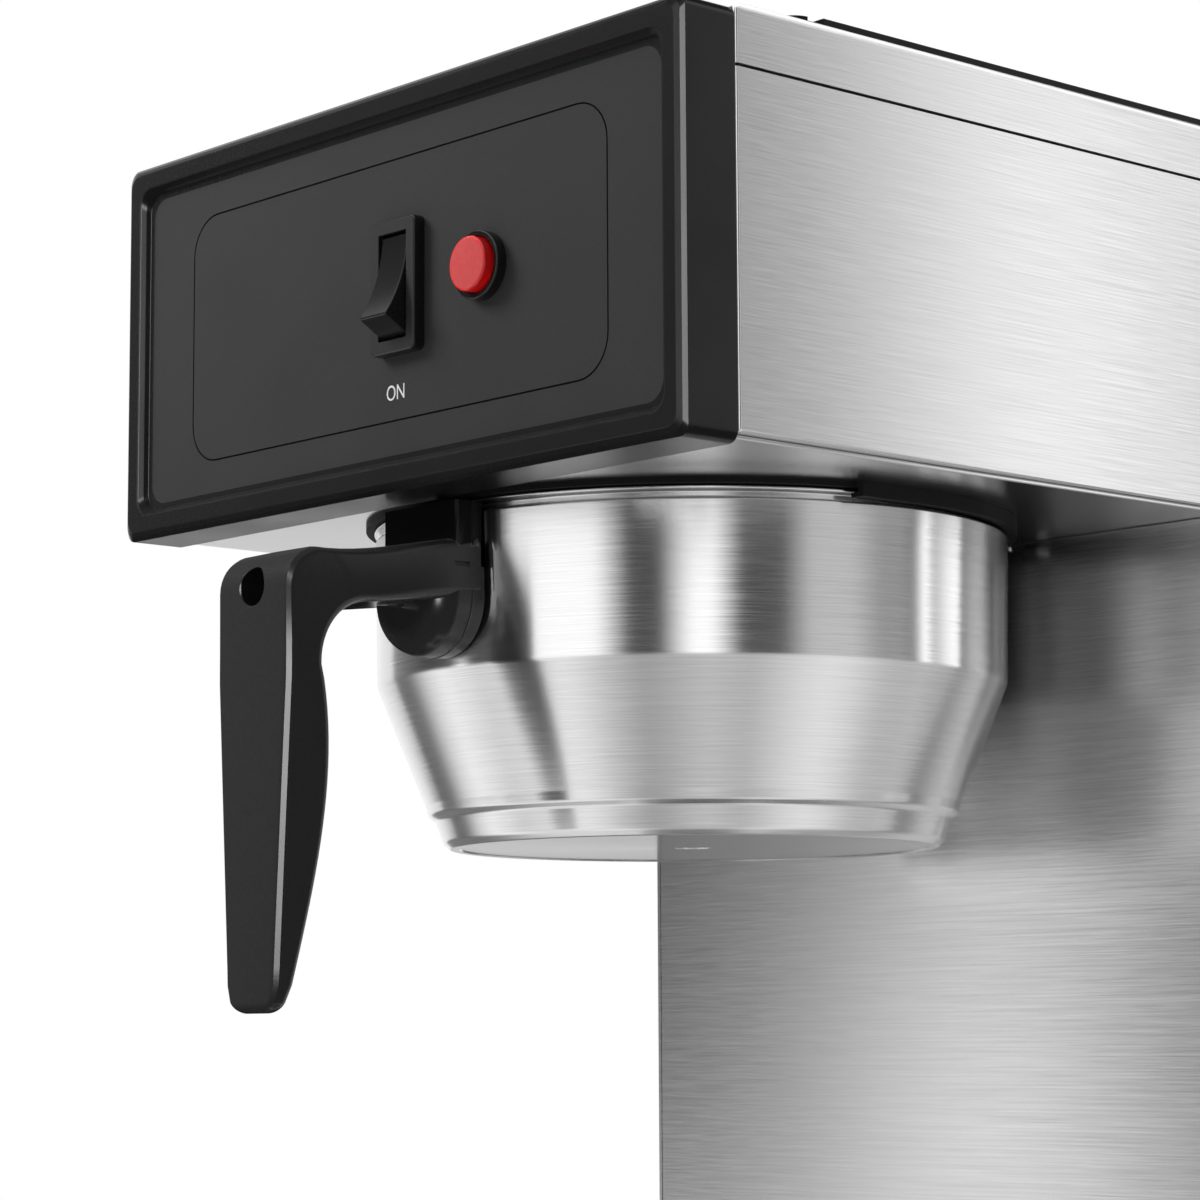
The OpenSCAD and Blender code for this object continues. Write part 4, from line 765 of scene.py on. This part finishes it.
def make_funnel():
    """Pressed funnel: rim, groove, upright wall, cone, foot ring and a floor with its drain."""
    groove, rim_t, wall_h, cone_h, taper = 2.8, 0.8, 42.7, 32.6, 1.0
    cone_r, lip_r, ring_r, foot_r, disc_r, drain_r = 72.9, 72.2, 70.3, 66.4, 63.5, 5.0
    lip_h, step_h, rise = 2.6, 3.9, 0.3
    top = z_rim - z_floor
    groove_r = rim_r - groove
    wall_top = top - groove
    shoulder_r = rim_r - taper
    shoulder = top - wall_h
    cone = shoulder - cone_h
    floor = rise + sheet
    outside = [
        (rim_r, top, 0.3), (rim_r, top - rim_t, 0.3), (groove_r, top - rim_t, 0.6),
        (groove_r, wall_top, 0.6), (wall_r, wall_top, 0.8), (shoulder_r, shoulder, 4.0),
        (cone_r, cone, 3.6), (lip_r, cone - lip_h, 1.4), (ring_r, cone - step_h, 1.6),
        (68.2, 1.6, 2.2), (foot_r, 0, 1.2), (63.8, 0, 0.2), (disc_r, rise, 0.1), (drain_r, rise, 0.3)]
    inside = [
        (drain_r, floor, 0.3), (65.6 - sheet, floor, 1.5), (69.6 - sheet, cone - 3.0, 0.5),
        (72.1 - sheet, cone, 1.5), (shoulder_r - sheet, shoulder + 0.4, 3.0),
        (wall_r - sheet, wall_top - sheet, 0.5), (groove_r - sheet, wall_top - sheet, 0.5),
        (groove_r - sheet, top, 0.3)]
    funnel = lathe("funnel_bowl", rounded(outside + inside), (0, y_axis, z_floor), segments=192)
    screw_r, below, reach = 1.7, 26.8, 4
    hole = rod("screw_hole", (0, funnel_low.y + 1, z_rim - below), screw_r, reach, reach)
    combine(funnel, hole, "DIFFERENCE")
    stand_for(funnel, "brew_funnel", "funnel", MATERIALS["funnel_steel"])

    # Faces of the floor, turned down, get the smoother steel whose darker level is painted shade
    def on_disc(face, middle):
        return face.normal.z < -FACING and middle.z < z_floor + rise + 2 * NEAR

    second_finish(funnel, MATERIALS["disc_steel_painted_shade"], on_disc)


# Handle: an arm and a drop grip, with a domed pad on the funnel's wall

arm_rise, arm_t = 7.0, 12.4
grip_t, grip_w, grip_low_w, grip_len = 11.6, 30.4, 21.4, 114.6
neck_r, tip_r, low_r = 16.0, 2.8, 7.0
z_arm = round(handle_low.z + grip_len, 3)


def handle_pairs(front, wall):
    """Outer and inner points (depth, height) of the sections, from the wall to the grip's tip."""
    crown, arm_low = 10.0, 9.0
    arm_start, crown_start = wall - 1, front + 14
    arm_steps, belly_steps, tip_steps = 12, 22, 8
    lead_steps, crown_steps, down_steps = 2, 10, 4
    bend_steps = lead_steps + crown_steps + down_steps
    quarter = math.pi / 2
    neck = Vector((front + grip_t + neck_r, -arm_t - neck_r))
    lowest = -grip_len + tip_r
    top = bezier((arm_start, arm_rise), (wall - 17, arm_rise * 0.8),
                 (front + 31, arm_rise / 12), (crown_start, 0), arm_steps)
    low = bezier((arm_start, -arm_low), (wall - 9, -arm_low),
                 (neck.x + 9, -arm_t + 0.6), (neck.x, -arm_t), arm_steps)
    pairs = list(zip(top, low))[:-1]
    inner = arc_points(neck, neck_r, quarter, quarter, bend_steps)
    bend = arc_points((front + crown, -crown), crown, quarter, quarter, crown_steps)
    start, end = Vector((crown_start, 0)), Vector((front, neck.y))
    lead = [start.lerp(bend[0], k / lead_steps) for k in range(lead_steps)]
    down = [bend[-1].lerp(end, k / down_steps) for k in range(1, down_steps + 1)]
    pairs += zip(lead + bend + down, inner)
    belly = bezier((front + grip_t, neck.y - 1), (front + 19, neck.y - 27),
                   (front + 12.5, lowest + 30), (front + 2 * tip_r, lowest), belly_steps)
    pairs += [(Vector((front, spot.y)), spot) for spot in belly]
    for k in range(1, tip_steps):
        angle = quarter * k / tip_steps
        half = tip_r * math.cos(angle)
        height = lowest - tip_r * math.sin(angle)
        pairs.append((Vector((front + tip_r - half, height)), Vector((front + tip_r + half, height))))
    return pairs


def grip_width(height):
    """Width of the handle at a height below the arm's top."""
    straight = 4
    taper_from = -arm_t - neck_r - straight
    taper_to = -grip_len + low_r
    if height > taper_from:
        return grip_w
    if height > taper_to:
        share = (taper_from - height) / (taper_from - taper_to)
        return grip_w + (grip_low_w - grip_w) * share
    fall = min(taper_to - height, low_r)
    return grip_low_w - 2 * low_r + 2 * math.sqrt(low_r ** 2 - fall ** 2)


def grip_ring(width, thick, back_r):
    """Section (across, inwards) with a faintly ridged outer face and round edges."""
    ridge = min(0.16, 0.1 * thick)
    front_r = min(2.7, 0.4 * thick, 0.4 * width)
    back_r = min(back_r, 0.45 * thick, 0.4 * width)
    half = width / 2
    ring = [Vector((0, 0))]
    turns = [(half, ridge, front_r, 1, 1, 3), (half, thick, back_r, 1, -1, 6),
             (-half, thick, back_r, -1, -1, 6), (-half, ridge, front_r, -1, 1, 3)]
    for quarter, (u, v, radius, sx, sz, steps) in enumerate(turns):
        centre = (u - sx * radius, v + sz * radius)
        ring += arc_points(centre, radius, (quarter - 1) * math.pi / 2, math.pi / 2, steps)
    return ring


def make_pad(wall):
    """Plate that is half round below and square above, a lug behind the arm and a dome in front."""
    pad_r, pad_edge, pad_t, back = 15.1, 4.2, 15.0, 0.5
    pad_low, pad_steps = 15.4, 40
    lug_t, lug_top, lug_low = 8.9, 15.9, 1
    draw_in = 1.5
    dome_r, dome_edge = 14.9, 9.0
    centre = arm_rise - pad_low
    rings = []
    for inset, y in ((draw_in, wall + back), (draw_in, wall - 0.4), (0, wall - pad_edge + 0.7),
                     (0.2, wall - pad_edge + 0.2), (0.7, wall - pad_edge)):
        half = pad_r - inset
        outline = arc_points((0, centre), half, math.pi, math.pi, pad_steps)
        outline += [Vector((half, lug_top)), Vector((-half, lug_top))]
        rings.append([(u, y_face + y, z_arm + v) for u, v in outline])
    pad = loft("pad_plate", rings)
    lug = []
    for inset, y in ((draw_in + 0.2, wall + back - 0.1), (0.2, wall - pad_edge),
                     (0.1, wall - lug_t + 0.8), (0.8, wall - lug_t)):
        half = pad_r - inset
        high = lug_top - 0.1
        corners = [(-half, lug_low), (half, lug_low), (half, high), (-half, high)]
        lug.append([(u, y_face + y, z_arm + v) for u, v in corners])
    combine(pad, loft("pad_lug", lug), "UNION")
    deep = pad_t + back
    profile = rounded([(0, 0), (dome_r, 0), (dome_r, deep, dome_edge), (0, deep)])
    dome = lathe("pad_dome", profile, (0, y_face + wall + back, z_arm + centre), 80, forward=True)
    combine(pad, dome, "UNION")
    saddle_r, saddle_d = dome_r + 0.1, deep - 0.1
    outline = rounded([(-saddle_r, 0.2), (-saddle_r, saddle_d, dome_edge),
                       (saddle_r, saddle_d, dome_edge), (saddle_r, 0.2)])
    saddle = [[(u, y_face + wall + back - h, z_arm + v) for u, h in outline] for v in (centre, -1)]
    combine(pad, loft("pad_saddle", saddle), "UNION")
    return pad


def make_handle():
    """Arm and grip skinned over their sections, with the pad, the screw's hole and a side slot."""
    wall = y_axis - wall_r - y_face
    front = handle_low.y - y_face
    rings = []
    arm_edge, grip_edge = 3.0, 2.6
    for outer, inner in handle_pairs(front, wall):
        thick = (inner - outer).length
        share = min(max((inner.x - front - grip_t) / neck_r, 0), 1)
        edge = grip_edge + (arm_edge - grip_edge) * share
        ring = []
        for u, v in grip_ring(grip_width(outer.y), thick, edge):
            spot = outer.lerp(inner, v / thick)
            ring.append((u, y_face + spot.x, z_arm + spot.y))
        rings.append(ring)
    handle = loft("handle_grip", rings)
    combine(handle, make_pad(wall), "UNION")
    cut_r, cut_low, cut_high = wall_r + 0.1, -40, 30
    bowl = [(0, cut_low), (cut_r, cut_low), (cut_r, cut_high), (0, cut_high)]
    combine(handle, lathe("wall_cut", bowl, (0, y_axis, z_arm), 192), "DIFFERENCE")
    hole_r, hole_d, hole_drop, lip, past = 4.9, 13.0, 9.6, 0.35, 2
    mouth_r = hole_r + lip
    access = [(0, -hole_d), (hole_r, -hole_d), (hole_r, -lip), (mouth_r, 0), (mouth_r, past), (0, past)]
    place = (0, handle_low.y, z_arm - hole_drop)
    combine(handle, lathe("access_hole", access, place, 48, forward=True), "DIFFERENCE")
    slot_in, slot_len, slot_d, slot_drop, slot_h = 13.6, 5.0, 1.2, 1.4, 1.3
    slot_x, slot_y, slot_z = grip_w / 2 - slot_d, y_face + slot_in, z_arm - slot_drop
    slot_end = (grip_w / 2 + 1, slot_y + slot_len, slot_z + slot_h)
    combine(handle, block("side_slot", (slot_x, slot_y, slot_z), slot_end), "DIFFERENCE")
    stand_for(handle, "funnel_handle", "funnel", MATERIALS["handle_plastic"], angle=22)

    # The access hole's inside and the lug behind the arm get the black finish: painted shade where they lie in
    # shadow
    def painted_shade_hole_and_lug(face, middle):
        from_axis = math.hypot(middle.x, middle.z - z_arm + hole_drop)
        in_hole = from_axis < hole_r + NEAR and lip < middle.y - handle_low.y < hole_d + NEAR
        highest = max(handle.data.vertices[v].co.z for v in face.vertices) / MM
        return in_hole or highest > z_arm + arm_rise + 4 * NEAR

    second_finish(handle, MATERIALS["dark_line_and_painted_shade"], painted_shade_hole_and_lug)
    return handle


make_sides()
make_cover()
bezel = make_bezel()
make_panel()
make_legend()
make_switch()
make_rocker()
make_lamp()
make_funnel()
handle = make_handle()


# Nodes that keep their shape: rounded edges and a finish

EDGE_WIDTH = {"brushed_sheet": 0.4, "lid_plastic": 0.7, "rubber": 0.5, "switch_plastic": 0.4}
PLAIN_EDGE = 0.25
WELD_REACH = 0.01
SHARP_EDGES = ["rear_cover"]
OWN_FINISH = {"underside_plate": "smooth_sheet", "funnel_guide": "guide_plastic"}
for node, piece in frame["nodes"].items():
    finish = OWN_FINISH.get(node, SLOT_OF[node])
    piece.data.materials.clear()
    piece.data.materials.append(MATERIALS[finish])
    if node not in replaced and node not in SHARP_EDGES:
        weld = piece.modifiers.new("weld", "WELD")
        weld.merge_threshold = WELD_REACH * MM
        soften(piece, EDGE_WIDTH.get(SLOT_OF[node], PLAIN_EDGE))
        smooth(piece)


# Studio: pale floor, soft boxes and flags that the steel mirrors, soft lamps and the camera

# Brightness of the studio at azimuths in degrees: 0 to the right, -90 to the front
STUDIO_LEVEL = 1.17
WALL_LIGHT = [
    (-180, 0.30), (-152, 0.02), (-139, 0.02), (-136, 0.42), (-133.5, 2.1), (-131.5, 1.45),
    (-128, 0.02), (-113, 0.03), (-108, 1.35), (-77, 1.45), (-65, 0.03), (-54, 0.02), (-48, 0.9),
    (-43, 1.6), (-36, 1.6), (-31, 0.8), (-26, 0.02), (-11, 0.02), (-1, 0.60), (15, 0.62),
    (27, 0.34), (36, 0.36), (43, 0.10), (47.5, 2.1), (49.5, 1.2), (51.5, 0.5), (60, 1.3),
    (70, 1.8), (88, 1.6), (96, 0.05), (117, 0.05), (123, 0.9),
]
FLOOR_LIGHT = [
    (-180, 0.10), (-168, 0.25), (-157, 1.0), (-147, 1.3), (-138, 1.0), (-127, 0.85),
    (-118, 0.95), (-112, 1.05), (-103, 1.05), (-90, 0.98), (-77, 0.68), (-62, 0.46),
    (-36, 0.64), (-20, 0.60), (0, 0.92), (10, 1.02), (20, 0.92), (34, 0.64), (55, 0.58),
    (66, 0.42), (82, 0.12), (110, 0.10), (140, 0.20),
]
CEILING_LIGHT = [(-180, 1.5)]
SHADE_LIGHT = [(-180, 0.02)]


def studio_glow(name, lights):
    """Glow that changes with the azimuth round the funnel's axis."""
    peak = max(level for azimuth, level in lights)
    shader = Shader(name)
    place = shader.add("NewGeometry").outputs["Position"]
    run = shader.parts(shader.vector("SUBTRACT", place, (0, y_axis * MM, 0)))
    angle = shader.math("ARCTAN2", run[1], run[0])
    share = shader.add("MapRange", Value=angle, i1=-math.pi, i2=math.pi).outputs[0]
    ramp = shader.add("ValToRGB", Fac=share)
    stops = ramp.color_ramp.elements
    while len(stops) > 1:
        stops.remove(stops[-1])
    for index, (azimuth, level) in enumerate(lights):
        stop = stops[0] if index == 0 else stops.new((azimuth + 180) / 360)
        stop.position = (azimuth + 180) / 360
        stop.color = (*grey(level / peak), 1)
    glow = shader.add("Emission", Color=ramp.outputs[0], Strength=peak * STUDIO_LEVEL)
    shader.tree.links.new(glow.outputs[0], shader.tree.nodes["Material Output"].inputs["Surface"])
    return shader.material


def mirror_only(piece):
    """Keeps a stage piece out of sight and light, so that only glossy surfaces show it."""
    piece.visible_camera = False
    piece.visible_diffuse = False
    piece.visible_shadow = False
    piece.visible_transmission = False


def ring_points(radius, z, segments):
    """Level circle of points round the funnel's axis."""
    angles = [2 * math.pi * k / segments for k in range(segments)]
    return [(radius * math.cos(a), y_axis + radius * math.sin(a), z) for a in angles]


def light_only(light, pieces):
    """Lets a light show on some pieces only."""
    group = bpy.data.collections.new(light.name + "_on")
    for piece in pieces:
        group.objects.link(piece)
    light.light_linking.receiver_collection = group


def all_but(*left_out):
    """Every piece so far, apart from some."""
    return [piece for piece in bpy.data.objects if piece.type == "MESH" and piece not in left_out]


def studio_card(name, points, faces, lights, closed=True):
    """Glowing stage piece that only glossy surfaces show."""
    card = mesh_piece(name, points, faces, closed)
    card.data.materials.append(studio_glow(name, lights))
    mirror_only(card)
    return card


def strip_faces(count, closed):
    """Faces between two equal rows of points, one above the other."""
    pairs = [(k, (k + 1) % count) for k in range(count if closed else count - 1)]
    return [(k, n, n + count, k + count) for k, n in pairs]


def make_studio():
    """Round wall, floor, ceiling and a dark card, which the steel mirrors."""
    radius, low, high, segments = 3000, -800, 3200, 96
    above_floor = 0.5
    disc = [tuple(range(segments))]
    points = ring_points(radius, low, segments) + ring_points(radius, high, segments)
    wall = studio_card("studio_wall", points, strip_faces(segments, True), WALL_LIGHT)
    points = ring_points(radius, above_floor, segments)
    floor = studio_card("studio_floor", points, disc, FLOOR_LIGHT)
    points = ring_points(radius, high, segments)
    ceiling = studio_card("studio_ceiling", points, disc, CEILING_LIGHT)
    shade_r, shade_low, shade_from, shade_to = 2900, 640, 219, 235
    arc = ring_points(shade_r, 0, 360)[shade_from:shade_to + 1]
    points = [(x, y, z) for z in (shade_low, high) for x, y, bottom in arc]
    studio_card("studio_shade", points, strip_faces(len(arc), False), SHADE_LIGHT, closed=False)
    light_only(wall, all_but(handle))
    light_only(floor, all_but(handle, bezel))
    light_only(ceiling, all_but(handle, bezel))


def make_floor():
    """Pale floor that keeps the shadow and fades into the white background."""
    radius, segments = 2600, 96
    fade_from, fade_to = 0.5, 1.8
    floor = mesh_piece("floor", ring_points(radius, 0, segments), [tuple(range(segments))])
    shader = Shader("floor")
    place = shader.add("TexCoord").outputs["Object"]
    shader.set(Base_Color=(*grey(0.82), 1), Roughness=0.9)
    away = shader.add("VectorMath", {"operation": "LENGTH"}, i0=place).outputs[1]
    fade = shader.add("MapRange", Value=away, i1=fade_from, i2=fade_to, i3=0.0, i4=1.0).outputs[0]
    glow = shader.add("Emission").outputs[0]
    mix = shader.add("MixShader", i0=fade, i1=shader.surface.outputs[0], i2=glow)
    shader.tree.links.new(mix.outputs[0], shader.tree.nodes["Material Output"].inputs["Surface"])
    floor.data.materials.append(shader.material)


def make_world():
    """White background for what is seen or mirrored, a softer level for what it lights."""
    ambient = 0.12
    world = bpy.data.worlds.new("studio")
    world.use_nodes = True
    bpy.context.scene.world = world
    tree = world.node_tree
    back = tree.nodes["Background"]
    ray = tree.nodes.new("ShaderNodeLightPath")
    total = ray.outputs["Is Camera Ray"]
    for other in ("Is Glossy Ray", "Is Transmission Ray"):
        add = tree.nodes.new("ShaderNodeMath")
        add.operation = "MAXIMUM"
        tree.links.new(total, add.inputs[0])
        tree.links.new(ray.outputs[other], add.inputs[1])
        total = add.outputs[0]
    level = tree.nodes.new("ShaderNodeMapRange")
    level.inputs["To Min"].default_value = ambient
    level.inputs["To Max"].default_value = 1.0
    tree.links.new(total, level.inputs["Value"])
    tree.links.new(level.outputs[0], back.inputs["Strength"])
    back.inputs["Color"].default_value = (1, 1, 1, 1)


def area_lamp(name, place, target, size, power):
    """Soft lamp that faces a target, in metres and watts."""
    lamp = bpy.data.lights.new(name, "AREA")
    lamp.shape = "RECTANGLE"
    lamp.size, lamp.size_y = size
    lamp.energy = power
    holder = bpy.data.objects.new(name, lamp)
    bpy.context.scene.collection.objects.link(holder)
    holder.location = place
    holder.rotation_euler = (Vector(target) - Vector(place)).to_track_quat("-Z", "Y").to_euler()
    holder.visible_camera = False
    holder.visible_glossy = False
    return holder


def make_edge_lamp():
    """Tall strip that draws the bright lines along the black edges, and lights nothing else."""
    strip = area_lamp("edge_lines", (0.83, -1.14, 0.72), (0.07, -0.22, 0.50), (0.45, 0.9), 15)
    strip.visible_glossy = True
    strip.visible_diffuse = False
    light_only(strip, [handle, bezel])


def make_camera():
    """Camera at the photograph's viewing angle: place in metres, angles in degrees."""
    place = Vector((0.701117, -0.724524, 0.371907))
    yaw, pitch, roll = (math.radians(a) for a in (48.339, 7.25, -0.281))
    focal = 105.479
    ahead = Vector((-math.sin(yaw), math.cos(yaw), 0))
    forward = ahead * math.cos(pitch) + Vector((0, 0, math.sin(pitch)))
    right = Vector((math.cos(yaw), math.sin(yaw), 0))
    up = right.cross(forward)
    across = right * math.cos(roll) + up * math.sin(roll)
    upright = up * math.cos(roll) - right * math.sin(roll)
    data = bpy.data.cameras.new("camera")
    data.sensor_width = 36
    data.lens = focal
    data.clip_start = 0.01
    camera = bpy.data.objects.new("camera", data)
    bpy.context.scene.collection.objects.link(camera)
    turn = Matrix((across, upright, -forward)).transposed()
    camera.matrix_world = Matrix.Translation(place) @ turn.to_4x4()
    bpy.context.scene.camera = camera


make_studio()
make_floor()
make_world()
area_lamp("key", (-0.46, -0.56, 0.96), (0, -0.17, 0.53), (0.3, 0.3), 8)
area_lamp("top", (0.1, 0.1, 2.6), (0, 0, 0.4), (1.6, 1.6), 30)
make_edge_lamp()
make_camera()
bpy.context.scene.view_settings.view_transform = "Standard"
